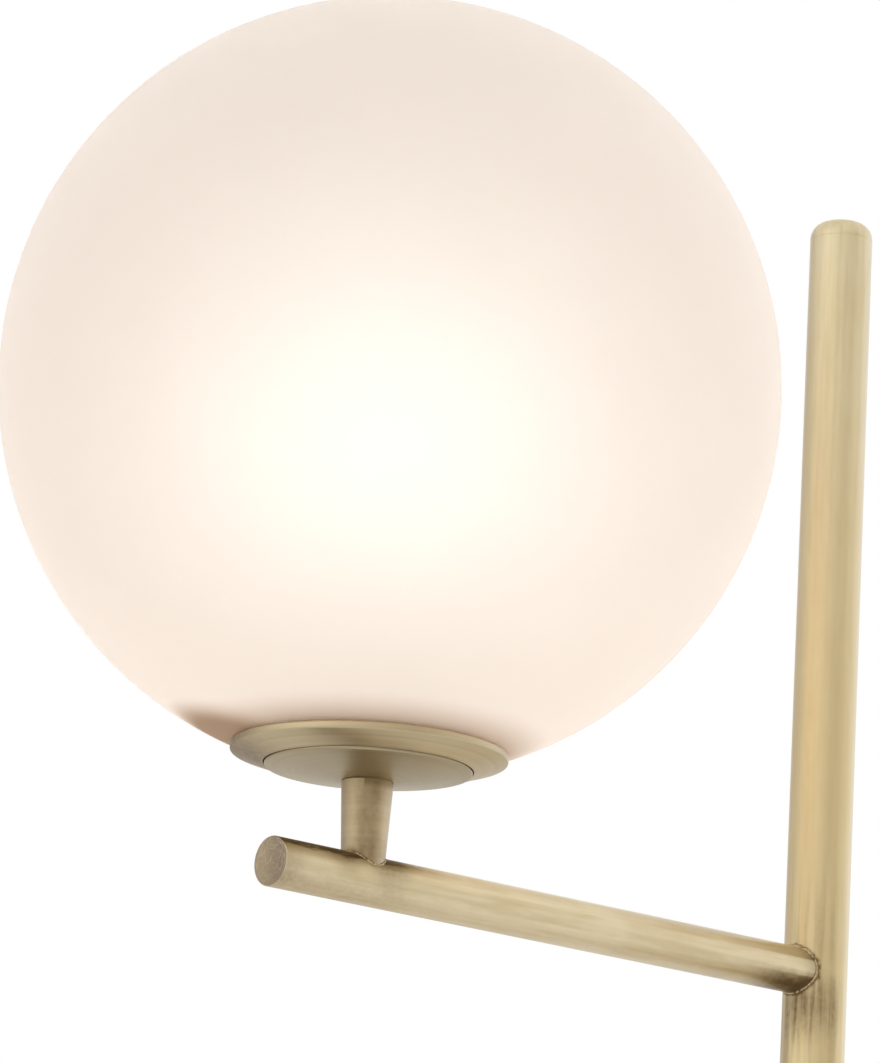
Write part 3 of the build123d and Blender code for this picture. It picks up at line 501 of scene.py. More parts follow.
class Growth(Sketch):
    """A Geometry Nodes tree whose inputs have names."""

    def __init__(self, name, **inputs):
        super().__init__(bpy.data.node_groups.new(name, "GeometryNodeTree"))
        sockets = self.tree.interface
        sockets.new_socket("Mesh", in_out="OUTPUT", socket_type="NodeSocketGeometry")
        for label, kind in inputs.items():
            sockets.new_socket(label, in_out="INPUT", socket_type="NodeSocket" + kind)
        entry = self.node("NodeGroupInput", {}, {}).socket.node
        self.given = {socket.name: Level(self, socket) for socket in entry.outputs}

    def __getitem__(self, label):
        return self.given[label]

    def point(self, x=0.0, y=0.0, z=0.0):
        return self.node("ShaderNodeCombineXYZ", {}, {"X": x, "Y": y, "Z": z})

    def moved(self, geometry, offset):
        inputs = {"Geometry": geometry, "Translation": offset}
        return self.node("GeometryNodeTransform", {}, inputs)

    def end(self, geometry, material):
        """Makes the instances real, gives them their material and ends the tree."""
        real = self.node("GeometryNodeRealizeInstances", {}, {"Geometry": geometry})
        inputs = {"Geometry": real, "Material": material}
        painted = self.node("GeometryNodeSetMaterial", {}, inputs)
        self.node("NodeGroupOutput", {}, {"Mesh": painted})

    def grow(self, name, start=None, **sizes):
        """The plain mesh that the tree makes from a start mesh and its named sizes."""
        holder = placed(name, start or bpy.data.meshes.new(name + "_start"))
        modifier = holder.modifiers.new("growth", "NODES")
        modifier.node_group = self.tree
        for socket in self.tree.interface.items_tree:
            if socket.in_out == "INPUT" and socket.name in sizes:
                modifier[socket.identifier] = sizes[socket.name]
        bpy.context.view_layer.update()
        grown = bpy.data.meshes.new_from_object(
            holder.evaluated_get(bpy.context.evaluated_depsgraph_get())
        )
        holder.modifiers.remove(modifier)
        bpy.data.objects.remove(holder)
        grown.name = name
        grown.polygons.foreach_set("use_smooth", [True] * len(grown.polygons))
        grown.set_sharp_from_angle(angle=radians(GROWN_CREASE))
        return grown


HEAD_DRAWN_IN = 0.22
SLOT_SEED = 7

zinc_plate = plain(
    "zinc_plate", paint(196, 198, 200), paint(182, 185, 189),
    scale=900.0, roughness=0.28, metallic=1.0, depth=0.008 * MM,
)
screw = Growth(
    "slotted_screws", Mesh="Geometry", Head_Radius="Float", Head_Height="Float",
    Shank_Radius="Float", Length="Float", Slot_Width="Float", Upside_Down="Float", Seed="Int",
)
head_radius, head_height = screw["Head_Radius"], screw["Head_Height"]
head_block = screw.node(
    "GeometryNodeMeshCylinder",
    {},
    {"Vertices": 40, "Side Segments": 8, "Radius": head_radius, "Depth": head_height},
)
head_place = screw.node("GeometryNodeInputPosition", {}, {})
head_z = screw.node("ShaderNodeSeparateXYZ", {}, {0: head_place}, output="Z") / head_height
head_share = 1.0 - (head_z * 2.0).bounded() ** 2.0 * HEAD_DRAWN_IN
head_shape = screw.vectors("MULTIPLY", head_place, screw.point(head_share, head_share, 1.0))
head_domed = screw.node(
    "GeometryNodeSetPosition", {}, {"Geometry": head_block, "Position": head_shape}
)
slot_size = screw.point(head_radius * 3.0, screw["Slot_Width"], head_height)
slot_block = screw.node("GeometryNodeMeshCube", {}, {"Size": slot_size})
slot = screw.moved(slot_block, screw.point(z=head_height * 0.5))
head = screw.node(
    "GeometryNodeMeshBoolean",
    {"operation": "DIFFERENCE", "solver": "EXACT"},
    {"Mesh 1": head_domed, "Mesh 2": slot},
)
head = screw.moved(head, screw.point(z=head_height * 0.5))
shank_block = screw.node(
    "GeometryNodeMeshCylinder",
    {},
    {"Vertices": 24, "Radius": screw["Shank_Radius"], "Depth": screw["Length"]},
)
shank = screw.moved(shank_block, screw.point(z=screw["Length"] * -0.5))
one_screw = screw.node("GeometryNodeJoinGeometry", {}, {"Geometry": [head, shank]})
turn_range = {2: 0.0, 3: pi, "Seed": screw["Seed"]}
slot_turn = screw.node("FunctionNodeRandomValue", {"data_type": "FLOAT"}, turn_range, output=1)
screw_turn = screw.point(screw["Upside_Down"] * pi, 0.0, slot_turn)
setting = {"Points": screw["Mesh"], "Instance": one_screw, "Rotation": screw_turn}
screw.end(screw.node("GeometryNodeInstanceOnPoints", {}, setting), zinc_plate)


def screws(node, places, head_height, upside_down, **sizes):
    """Slotted screws at places (x, y) for those of a CAD node, whose box gives their heights."""
    low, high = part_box(node)
    seat = low.z + head_height if upside_down else high.z - head_height
    seats = bpy.data.meshes.new(node + "_seats")
    seats.from_pydata([(x, y, seat) for x, y in places], [], [])
    made = screw.grow(
        node + "_slotted",
        seats,
        Head_Height=head_height,
        Length=high.z - low.z - head_height,
        Upside_Down=float(upside_down),
        Seed=SLOT_SEED,
        **sizes,
    )
    piece(made, zinc_plate, "zinc_steel", node)


BASE_HEAD_RADIUS = 4.0 * MM
CLAMP_HEAD_RADIUS = 2.8 * MM

base_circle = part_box("base_screws")[1].y - BASE_HEAD_RADIUS
screws(
    "base_screws",
    round_places(foot_x, base_circle, count=3, first=pi / 2),
    head_height=2.5 * MM,
    upside_down=True,
    Head_Radius=BASE_HEAD_RADIUS,
    Shank_Radius=1.95 * MM,
    Slot_Width=0.8 * MM,
)
clamp_x = upright("cord_clamp_screws")[0]
clamp_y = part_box("cord_clamp_screws")[1].y - CLAMP_HEAD_RADIUS
screws(
    "cord_clamp_screws",
    [(clamp_x, -clamp_y), (clamp_x, clamp_y)],
    head_height=0.8 * MM,
    upside_down=True,
    Head_Radius=CLAMP_HEAD_RADIUS,
    Shank_Radius=1.5 * MM,
    Slot_Width=0.6 * MM,
)
dressed(zinc_plate, "cord_clamp", "earth_screw", "terminal_screws")
dressed(zinc_plate, "foot_stud", "foot_washer", "foot_nut")
grey_plastic = plain(
    "terminal_grey", paint(196, 196, 192), paint(184, 184, 180), scale=900.0, roughness=0.45
)
dressed(grey_plastic, "terminal_block")


# The pole: three lengths of drawn brass tube, screwed end to end over threaded couplers,
# brushed lengthwise and closed by a domed plug. A hair's gap shows at each joint.
TUBE_BEVEL = 0.35 * MM
TUBE_END_AT_CAP = 0.1 * MM
PLUG_GAP = 0.1 * MM
PLUG_BEVEL = 0.4 * MM
CAP_BEVEL = 0.05 * MM
CAP_ROUNDING = 7.0 * MM

pole_x, pole_radius, _, cap_seat = upright("pole_upper")
pole_bore = upright("pole_foot_plug")[1] + PLUG_GAP
arm_low, arm_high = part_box("arm_tube")
arm_height = (arm_low.z + arm_high.z) / 2
arm_joint = Vector((pole_x - pole_radius, 0, arm_height))


def pole_patina(finish):
    """Brown stains round the brazed joint, which run down the pole in streaks."""
    height = finish.reading("Z", arm_joint)
    runs = finish.noise(finish.place((0.02, 0, 0), (300, 300, 16)), 1.0, detail=3.0)
    arm_side = finish.step(finish.reading("X", arm_joint), 21 * MM, 7 * MM)
    below = finish.step(height, -80 * MM, -10 * MM) * finish.step(height, 4 * MM, -8 * MM)
    above = finish.step(height, 60 * MM, 6 * MM) * finish.step(height, -2 * MM, 6 * MM)
    smoke = finish.near(arm_joint + Vector((1 * MM, -8 * MM, -15 * MM)), 20 * MM)
    streaked = finish.step(runs, 0.40, 0.62) * arm_side
    ragged = finish.noise(finish.place(), 500.0, detail=3.0)
    from_arm = finish.away(arm_joint, (0, 1, 1)) - ragged * 2.0 * MM
    scorched = finish.step(from_arm, 10.2 * MM, 8.7 * MM) * arm_side
    return streaked * (below * 0.45 + above * 0.25) + smoke * (0.35 + runs * 0.5) + scorched * 1.1


def pole_heat(finish):
    """Golden for a hand's breadth above the joint, and fading further up."""
    height = finish.reading("Z", arm_joint)
    return finish.step(height, 420 * MM, 40 * MM) * finish.step(height, -260 * MM, -20 * MM) * 0.6


pole_brass = brass("pole_brass", along(2), patches=14.0, patina_and_shade=pole_patina, heat=pole_heat)
for length in ("pole_lower", "pole_middle", "pole_upper"):
    low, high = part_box(length)
    tube_outline = [
        (pole_bore, low.z, 0),
        (pole_radius, low.z, TUBE_BEVEL),
        (pole_radius, high.z, TUBE_END_AT_CAP if length == "pole_upper" else TUBE_BEVEL),
        (pole_bore, high.z, 0),
    ]
    tube_mesh = turned(length + "_tube", tube_outline, pole_x)
    piece(tube_mesh, pole_brass, "brushed_brass", length)

cap_low, cap_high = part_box("pole_cap")
cap_outline = [
    (0, cap_low.z, 0),
    (pole_bore - PLUG_GAP, cap_low.z, PLUG_BEVEL),
    (pole_bore - PLUG_GAP, cap_seat, 0),
    (pole_radius, cap_seat, CAP_BEVEL),
    (pole_radius, cap_high.z, CAP_ROUNDING),
    (0, cap_high.z, 0),
]
cap_mesh = turned("pole_cap_dome", cap_outline, pole_x)
piece(cap_mesh, pole_brass, "brushed_brass", "pole_cap")

joint_brass = brass("joint_brass", round_about(pole_x), patches=30.0, deep=paint(150, 128, 88))
dressed(joint_brass, "pole_coupler_lower", "pole_coupler_upper", "pole_foot_plug")


# The arm: a brass tube brazed across the pole, its end hollowed to the pole's round. A disc
# closes its free end, faced flush with the tube and rubbed by hand with coarse paper.
ARM_WALL = 1.25 * MM
ARM_STEPS = 96
COPE_GAP = 0.12 * MM
COPE_EDGE = 0.5 * MM
END_BEVEL = 0.3 * MM
BEVEL_MIDDLE = 0.3
DISC_BEVEL = 0.03 * MM
END_FACING = -0.99

arm_radius = (arm_high.z - arm_low.z) / 2
arm_inside = arm_radius - ARM_WALL
disc_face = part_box("arm_cap")[0].x
disc_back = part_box("arm_cap")[1].x


def coped(radius, retreat):
    """The ring of an arm tube's end, cut to the pole's round and drawn back by retreat."""
    return [
        (pole_x - sqrt((pole_radius + COPE_GAP) ** 2 - y**2) - retreat, y, z)
        for z, y in round_places(arm_height, radius, ARM_STEPS)
    ]


def square_end(radius, x):
    """The ring of an arm tube's end, cut square at x."""
    if radius == 0:
        return [(x, 0, arm_height)]
    return [(x, y, z) for z, y in round_places(arm_height, radius, ARM_STEPS)]


arm_mesh = ringed(
    "arm_tube_coped",
    [
        square_end(arm_inside, arm_low.x),
        square_end(arm_radius - END_BEVEL, arm_low.x),
        square_end(arm_radius - BEVEL_MIDDLE * END_BEVEL, arm_low.x + BEVEL_MIDDLE * END_BEVEL),
        square_end(arm_radius, arm_low.x + END_BEVEL),
        coped(arm_radius, COPE_EDGE),
        coped(arm_radius - BEVEL_MIDDLE * COPE_EDGE, BEVEL_MIDDLE * COPE_EDGE),
        coped(arm_radius - COPE_EDGE, 0),
        coped(arm_inside, 0),
    ],
)
stem_x, stem_radius, _, stem_top = upright("stem")
stem_joint = Vector((stem_x, 0, arm_height + arm_radius))


def arm_patina(finish):
    """Brown along the top of the arm's free end, round the stem's foot, and under the arm by
    the pole."""
    height = finish.reading("Z", arm_joint)
    along_arm = finish.reading("X", stem_joint)
    from_pole = finish.reading("X", arm_joint)
    ragged = finish.noise(finish.place(stretch=(160, 600, 600)), 1.0, detail=4.0)
    top_line = finish.step(height + ragged * 5.5 * MM, 8.2 * MM, 10.6 * MM)
    past_stem = finish.step(along_arm, 32 * MM, 0.0)
    left_of_stem = finish.near(stem_joint + Vector((-15 * MM, -5 * MM, -1 * MM)), 13 * MM)
    at_stem = finish.near(stem_joint + Vector((6 * MM, -5 * MM, -2 * MM)), 16 * MM)
    at_end = finish.near(Vector((arm_low.x, -8 * MM, arm_height)), 15 * MM)
    underside = finish.step(height - ragged * 4 * MM, -3 * MM, -9 * MM)
    by_pole = finish.step(from_pole, -36 * MM, -8 * MM)
    free_end = finish.step(along_arm, 60 * MM, -40 * MM)
    rim = finish.step(from_pole, -6 * MM, 3 * MM)
    round_stem = (left_of_stem + at_stem) * (0.3 + ragged)
    by_joint = underside * (by_pole * 1.1 + free_end * 0.3 + 0.14) + rim * (0.1 + ragged * 0.6)
    return top_line * (0.05 + past_stem * 1.1) + round_stem * 0.9 + at_end * 0.35 + by_joint * 0.8


arm_brass = brass(
    "arm_brass", along(0), patches=26.0, patina_and_shade=arm_patina,
    light=paint(238, 224, 190), deep=paint(219, 202, 162),
)

# For each set of scratches how far it is turned, and where its noise is read.
SCRATCHES = ((0.35, 3.0), (1.3, 7.0), (2.2, 11.0), (2.9, 17.0))
SCRATCH_FINENESS = 2600.0
SCRATCH_BEND = 6.0 * MM
SCRATCH_DEPTH = 0.04 * MM

rubbed = Finish("rubbed_brass")
bend = rubbed.noise(rubbed.place(), 160.0, detail=1.0)
marks = 0.0
for turn, offset in SCRATCHES:
    way = (0.0, cos(turn), sin(turn))
    across = rubbed.vectors("DOT_PRODUCT", rubbed.place(), way, output="Value")
    line = {"X": (across + bend * SCRATCH_BEND) * SCRATCH_FINENESS, "Y": offset, "Z": bend * 3.0}
    scratches = rubbed.noise(rubbed.node("ShaderNodeCombineXYZ", {}, line), 1.0)
    marks = scratches.or_larger(marks)
bright_marks = rubbed.step(marks, 0.58, 0.74)
# The end face is darker on its half towards -Y.
darker_half = rubbed.step(rubbed.reading("Y", arm_joint), 8 * MM, -8 * MM)
rubbed_ground = rubbed.blend(darker_half, paint(178, 161, 132), paint(148, 132, 112))
rubbed_brass = rubbed.surface(
    Base_Color=rubbed.blend(bright_marks * 0.8, rubbed_ground, paint(214, 200, 176)),
    Metallic=1.0,
    Roughness=0.42 - bright_marks * 0.08,
    Normal=rubbed.relief(marks, SCRATCH_DEPTH, 0.6),
)
arm_mesh.materials.append(arm_brass)
arm_mesh.materials.append(rubbed_brass)
for face in arm_mesh.polygons:
    face.material_index = 1 if face.normal.x < END_FACING else 0
piece(arm_mesh, arm_brass, "brushed_brass", "arm_tube")

disc_mesh = ringed(
    "arm_cap_disc",
    [
        square_end(0, disc_back),
        square_end(arm_inside, disc_back),
        square_end(arm_inside, disc_face + DISC_BEVEL),
        square_end(arm_inside - DISC_BEVEL, disc_face),
        square_end(0, disc_face),
    ],
    closed=False,
)
piece(disc_mesh, rubbed_brass, "brushed_brass", "arm_cap")


# The brazing: a thin uneven bead of brass that ran round each joint of the arm and was left
# as it froze. Its colour goes at random between light brass and a dark brown that is partly
# patina and partly painted shade of the joint's gap.
BEAD_RADIUS = 0.55 * MM
BEAD_POINTS = 240
BEAD_UNEVENNESS = 2.6
BEAD_LUMPS = 260.0
BEAD_DEPTH = 0.1 * MM

braze = Finish("braze")
braze_grain = braze.noise(braze.place(), 700.0, detail=4.0, roughness=0.7)
braze_light_share = braze.step(braze_grain, 0.34, 0.56)
braze_brass = braze.surface(
    # The dark brown stands partly for patina and partly for painted shade in the joint's gap.
    Base_Color=braze.blend(braze_light_share, paint(108, 88, 58), paint(206, 188, 148)),
    Metallic=1.0,
    Roughness=0.35 + braze_grain * 0.2,
    Normal=braze.relief(braze_grain, BEAD_DEPTH, 0.7),
)
bead = Growth("braze_bead", Mesh="Geometry", Bead_Radius="Float", Unevenness="Float", Seed="Float")
bead_place = bead.node("GeometryNodeInputPosition", {}, {})
bead_lumps = bead.node(
    "ShaderNodeTexNoise",
    {"noise_dimensions": "4D"},
    {"Vector": bead_place, "W": bead["Seed"], "Scale": BEAD_LUMPS},
)
bead_path = bead.node("GeometryNodeMeshToCurve", {}, {"Mesh": bead["Mesh"]})
bead_section = bead.node(
    "GeometryNodeCurvePrimitiveCircle", {}, {"Resolution": 10, "Radius": bead["Bead_Radius"]}
)
bead_tube = bead.node(
    "GeometryNodeCurveToMesh",
    {},
    {
        "Curve": bead_path,
        "Profile Curve": bead_section,
        "Scale": 1.0 + (bead_lumps - 0.5) * bead["Unevenness"],
    },
)
bead.end(bead_tube, braze_brass)


def bead_round(name, corners, seed):
    """A braze bead that follows a closed line of corners."""
    path = bpy.data.meshes.new(name + "_path")
    edges = [(step, (step + 1) % len(corners)) for step in range(len(corners))]
    path.from_pydata(corners, edges, [])
    bead_mesh = bead.grow(
        name, path, Bead_Radius=BEAD_RADIUS, Unevenness=BEAD_UNEVENNESS, Seed=seed
    )
    piece(bead_mesh, braze_brass, "brass_plain")


arm_circle = round_places(arm_height, arm_radius, BEAD_POINTS)
arm_bead = [(pole_x - sqrt(pole_radius**2 - y**2), y, z) for z, y in arm_circle]
bead_round("arm_braze", arm_bead, seed=3.0)


# The stem: a short tapered brass rod, hollowed below to sit across the arm and brazed there,
# with the holder's plate screwed on its top.
STEM_STEPS = 72
STEM_ROWS = 10
STEM_FOOT_RADIUS = 8.0 * MM
STEM_BORE = 5.1 * MM
STEM_SEAT_GAP = 0.08 * MM
STEM_FOOT_EDGE = 0.15 * MM
STEM_FOOT_LIP = 2.5 * MM
STEM_TOP_EDGE = 0.25 * MM
STEM_EDGE_SHARE = 0.012

stem_height = stem_top - arm_height


def stem_ring(share, inset=0.0):
    """A ring of the stem: on the arm where share is 0, its flat top where share is 1."""
    taper = (stem_radius - STEM_FOOT_RADIUS) / stem_height
    ring = []
    for step in range(STEM_STEPS):
        angle = 2 * pi * step / STEM_STEPS
        rise = 0.0
        for _ in range(3):
            radius = STEM_FOOT_RADIUS + taper * rise - inset
            seat = sqrt(max((arm_radius + STEM_SEAT_GAP) ** 2 - (radius * sin(angle)) ** 2, 0.0))
            rise = seat + (stem_height - seat) * share
        ring.append((stem_x + radius * cos(angle), radius * sin(angle), arm_height + rise))
    return ring


stem_rings = [stem_ring(0.0, STEM_FOOT_LIP), stem_ring(0.0, STEM_FOOT_EDGE)]
for row in range(STEM_ROWS + 1):
    stem_rings.append(stem_ring(STEM_EDGE_SHARE + (1 - 2 * STEM_EDGE_SHARE) * row / STEM_ROWS))
stem_rings += [stem_ring(1.0, STEM_TOP_EDGE), stem_ring(1.0, stem_radius - STEM_BORE)]
stem_rings += [stem_ring(0.0, STEM_FOOT_RADIUS - STEM_BORE)]
stem_mesh = ringed("stem_coped", stem_rings)


def stem_patina_and_shade(finish):
    """Smoky at the foot and down the side that was held in the flame, with painted shade at the
    top, under the plate.
    """
    cloud = finish.noise(finish.place(stretch=(180, 180, 90)), 1.0, detail=4.0)
    foot = finish.near(stem_joint, 13 * MM) * 0.6
    # Painted shade: darker at the stem's top, where the plate shades it.
    top = finish.near(Vector((stem_x, 0, stem_top)), 15 * MM) * 0.45
    held_side = finish.step(finish.reading("X", stem_joint), 1 * MM, -9 * MM) * 0.15
    flame = finish.step(finish.away((stem_x - 5 * MM, -8 * MM, 0), (1, 1, 0)), 7.5 * MM, 1.5 * MM)
    return (foot + top + held_side) * (0.3 + cloud * 1.2) + flame * (0.15 + cloud * 0.5)


stem_brass = brass(
    "stem_brass", round_about(stem_x), patches=60.0, patina_and_shade=stem_patina_and_shade,
    light=paint(206, 189, 157), deep=paint(193, 175, 142), wax=0.1,
)
piece(stem_mesh, stem_brass, "brushed_brass", "stem")
bead_round("stem_braze", stem_ring(0.0), seed=8.0)


# The holder's plate: turned brass, a shallow cone below with a bright bevelled edge. It is
# screwed on the stem's top, and the rest of the holder stands on it.
PLATE_BEVEL = 0.4 * MM
PLATE_EDGE = 2.0 * MM
NIPPLE_HOLE = 5.1 * MM
LATHE_STEPS = 128

plate_x, plate_radius, plate_foot, plate_top = upright("holder_plate")
plate_edge_foot = plate_top - PLATE_EDGE
plate_outline = [
    (NIPPLE_HOLE, plate_foot, 0),
    (stem_radius + 0.15 * MM, plate_foot, 0.1 * MM),
    (plate_radius - PLATE_BEVEL, plate_edge_foot - 0.2 * MM, 0.15 * MM),
    (plate_radius, plate_edge_foot + 0.3 * MM, 0.15 * MM),
    (plate_radius, plate_top, 0.2 * MM),
    (NIPPLE_HOLE, plate_top, 0),
]
plate_mesh = turned("holder_plate_turned", plate_outline, plate_x, LATHE_STEPS)


def plate_shade_round_stem(finish):
    """Painted shade on the plate's underside round the stem's top."""
    return finish.near((plate_x, 0, plate_foot), 20 * MM) * 0.35


plate_brass = brass(
    "plate_brass", round_about(plate_x), patches=40.0, patina_and_shade=plate_shade_round_stem,
    light=paint(182, 169, 140), deep=paint(170, 157, 129), coarse=0.34, wax=0.0,
)
piece(plate_mesh, plate_brass, "brushed_brass", "holder_plate")


# On the plate: an aluminium ring with the coarse thread that the collar turns on, held by three
# slotted screws, and a washer, nut and brass riser on the hollow pipe that ends in the stem.
RING_WALL = 3.0 * MM
RING_FLANGE = 3.0 * MM
RING_LIP = 8.0 * MM
RING_PITCH = 3.0 * MM
RING_RIDGE = 0.6 * MM
RING_THREAD_START = 1.2 * RING_RIDGE
RING_HEAD_RADIUS = 2.2 * MM

aluminium = plain(
    "turned_aluminium", paint(214, 215, 217), paint(206, 207, 210),
    scale=1500.0, roughness=0.32, metallic=1.0, depth=0.006 * MM,
)
thread = Growth(
    "round_thread", Radius="Float", Ridge="Float", Pitch="Float", Turns="Float", Foot="Vector"
)
thread_line = thread.node(
    "GeometryNodeCurveSpiral",
    {},
    {
        "Resolution": 96,
        "Rotations": thread["Turns"],
        "Start Radius": thread["Radius"],
        "End Radius": thread["Radius"],
        "Height": thread["Turns"] * thread["Pitch"],
    },
)
thread_section = thread.node(
    "GeometryNodeCurvePrimitiveCircle", {}, {"Resolution": 8, "Radius": thread["Ridge"]}
)
thread_ridge = thread.node(
    "GeometryNodeCurveToMesh",
    {},
    {"Curve": thread_line, "Profile Curve": thread_section, "Fill Caps": True},
)
thread.end(thread.moved(thread_ridge, thread["Foot"]), aluminium)

_, ring_radius, ring_foot, ring_top = upright("thread_ring")
ring_core = ring_radius - RING_RIDGE
ring_outline = [
    (ring_radius - RING_LIP, ring_foot, 0),
    (ring_core, ring_foot, 0.2 * MM),
    (ring_core, ring_top, 0.4 * MM),
    (ring_radius - RING_WALL, ring_top, 0.3 * MM),
    (ring_radius - RING_WALL, ring_foot + RING_FLANGE, 0.3 * MM),
    (ring_radius - RING_LIP, ring_foot + RING_FLANGE, 0.3 * MM),
]
ring_mesh = turned("thread_ring_turned", ring_outline, plate_x, LATHE_STEPS)
piece(ring_mesh, aluminium, "aluminium", "thread_ring")
ring_thread_mesh = thread.grow(
    "thread_ring_thread",
    Radius=ring_core,
    Ridge=RING_RIDGE,
    Pitch=RING_PITCH,
    Turns=(ring_top - ring_foot - 2 * RING_THREAD_START) / RING_PITCH,
    Foot=(plate_x, 0.0, ring_foot + RING_THREAD_START),
)
piece(ring_thread_mesh, aluminium, "aluminium")

ring_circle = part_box("thread_ring_screws")[1].x - plate_x - RING_HEAD_RADIUS
screws(
    "thread_ring_screws",
    round_places(plate_x, ring_circle, count=3),
    head_height=1.6 * MM,
    upside_down=False,
    Head_Radius=RING_HEAD_RADIUS,
    Shank_Radius=1.45 * MM,
    Slot_Width=0.6 * MM,
)
dressed(zinc_plate, "plate_washer", "plate_nut", "stem_nipple")
dressed(brass("riser_brass", along(2), patches=40.0), "holder_riser")


# The lampholder: a white plastic cap and body screwed together, ribbed for the fingers, round
# a porcelain core with a nickelled screw shell and a sprung contact.
HOLDER_WALL = 2.2 * MM
HOLDER_BEVEL = 1.0 * MM
HOLDER_LIP = 1.6 * MM
HOLDER_LIP_HEIGHT = 2.0 * MM
CAP_HOLE = 5.1 * MM
CAP_NECK = 10.0 * MM
CAP_FLOOR = 3.0 * MM
CAP_SKIRT = 2.2 * MM
RIB_RADIUS = 0.55 * MM
RIB_LENGTH = 17.0 * MM
RIB_COUNT = 40

white_plastic = plain(
    "holder_white", paint(238, 237, 233), paint(235, 234, 229),
    scale=1600.0, roughness=0.35, depth=0.006 * MM,
)
nickel = plain(
    "nickel_plate", paint(214, 208, 198), paint(204, 198, 188),
    scale=600.0, roughness=0.22, metallic=1.0, depth=0.006 * MM,
)
porcelain = plain(
    "porcelain", paint(240, 238, 230), paint(232, 229, 219), scale=200.0, roughness=0.15
)
_, holder_radius, holder_foot, holder_top = upright("lampholder_body")
holder_inside = holder_radius - HOLDER_WALL
body_outline = [
    (holder_inside, holder_foot, 0.2 * MM),
    (holder_radius, holder_foot, 0.3 * MM),
    (holder_radius, holder_top, HOLDER_BEVEL),
    (holder_inside - HOLDER_LIP, holder_top, 0.4 * MM),
    (holder_inside - HOLDER_LIP, holder_top - HOLDER_LIP_HEIGHT, 0.2 * MM),
    (holder_inside, holder_top - HOLDER_LIP_HEIGHT, 0.2 * MM),
]
body_mesh = turned("lampholder_body_moulded", body_outline, plate_x)
piece(body_mesh, white_plastic, "white_plastic", "lampholder_body")
_, _, cap_foot, cap_top = upright("lampholder_cap")
cap_outline = [
    (CAP_HOLE, cap_foot, 0.2 * MM),
    (CAP_NECK, cap_foot, 1.0 * MM),
    (holder_radius, cap_top - CAP_SKIRT, 1.5 * MM),
    (holder_radius, cap_top, 0.3 * MM),
    (holder_inside, cap_top, 0.2 * MM),
    (CAP_NECK, cap_foot + CAP_FLOOR, 0.5 * MM),
    (CAP_HOLE, cap_foot + CAP_FLOOR, 0),
]
cap_mesh = turned("lampholder_cap_moulded", cap_outline, plate_x)
piece(cap_mesh, white_plastic, "white_plastic", "lampholder_cap")

ribs = Growth(
    "grip_ribs", Count="Int", Radius="Float", Rib_Radius="Float", Rib_Length="Float",
    Middle="Vector",
)
rib_ring = ribs.node(
    "GeometryNodeMeshCircle", {}, {"Vertices": ribs["Count"], "Radius": ribs["Radius"]}
)
rib = ribs.node("GeometryNodeMeshUVSphere", {}, {"Segments": 8, "Rings": 8, "Radius": 1.0})
rib_radius = ribs["Rib_Radius"]
rib_size = ribs.point(rib_radius, rib_radius, ribs["Rib_Length"] * 0.5)
rib_set = ribs.node(
    "GeometryNodeInstanceOnPoints", {}, {"Points": rib_ring, "Instance": rib, "Scale": rib_size}
)
ribs.end(ribs.moved(rib_set, ribs["Middle"]), white_plastic)
rib_mesh = ribs.grow(
    "lampholder_ribs",
    Count=RIB_COUNT,
    Radius=holder_radius,
    Rib_Radius=RIB_RADIUS,
    Rib_Length=RIB_LENGTH,
    Middle=(plate_x, 0.0, holder_foot + RIB_LENGTH * 0.6),
)
piece(rib_mesh, white_plastic, "white_plastic")
dressed(porcelain, "lampholder_insert")
dressed(nickel, "lampholder_shell", "lampholder_contact")


# The bulb: a plastic housing on a nickelled cap with a rolled round thread, under a milky dome
# that is lit. A black glass cone parts the cap from its centre contact.
BULB_PITCH = 3.629 * MM
BULB_TURNS = 4.6
BULB_RIDGE = 0.95 * MM
BULB_CORE_DEPTH = 0.8 * MM
BULB_THREAD_START = 0.9 * BULB_RIDGE
FERRULE_FOOT = 2.6 * MM
FERRULE_EDGE = 2.0 * MM
DOME_LIGHT = paint(243, 251, 255)
DOME_STRENGTH = 9.6
HOUSING_LIGHT = 0.02
HOUSING_FADE = 2.5
UNLIT = (0.0, 0.0, 0.0, 1.0)
DOME_NECK_ROWS = 4
DOME_ROWS = 24
BLOWN_CREASE = 60

_, screw_radius, screw_foot, screw_top = upright("bulb_cap")
screw_core = screw_radius - BULB_CORE_DEPTH
screw_outline = [
    (0, screw_foot, 0),
    (screw_core, screw_foot, 0.5 * MM),
    (screw_core, screw_top - FERRULE_FOOT, 0.3 * MM),
    (screw_radius, screw_top - FERRULE_EDGE, 0.3 * MM),
    (screw_radius, screw_top, 0.2 * MM),
    (0, screw_top, 0),
]
screw_mesh = turned("bulb_cap_rolled", screw_outline, plate_x)
piece(screw_mesh, nickel, "nickel", "bulb_cap", body="bulb")
screw_thread_mesh = thread.grow(
    "bulb_cap_thread",
    Radius=screw_radius - BULB_RIDGE,
    Ridge=BULB_RIDGE,
    Pitch=BULB_PITCH,
    Turns=BULB_TURNS,
    Foot=(plate_x, 0.0, screw_foot + BULB_THREAD_START),
)
screw_thread_mesh.materials.clear()
piece(screw_thread_mesh, nickel, "nickel", body="bulb")
dressed(nickel, "bulb_contact")
black_glass = plain("bulb_black", paint(34, 34, 36), paint(42, 42, 44), scale=1500.0, roughness=0.4)
dressed(black_glass, "bulb_insulator")

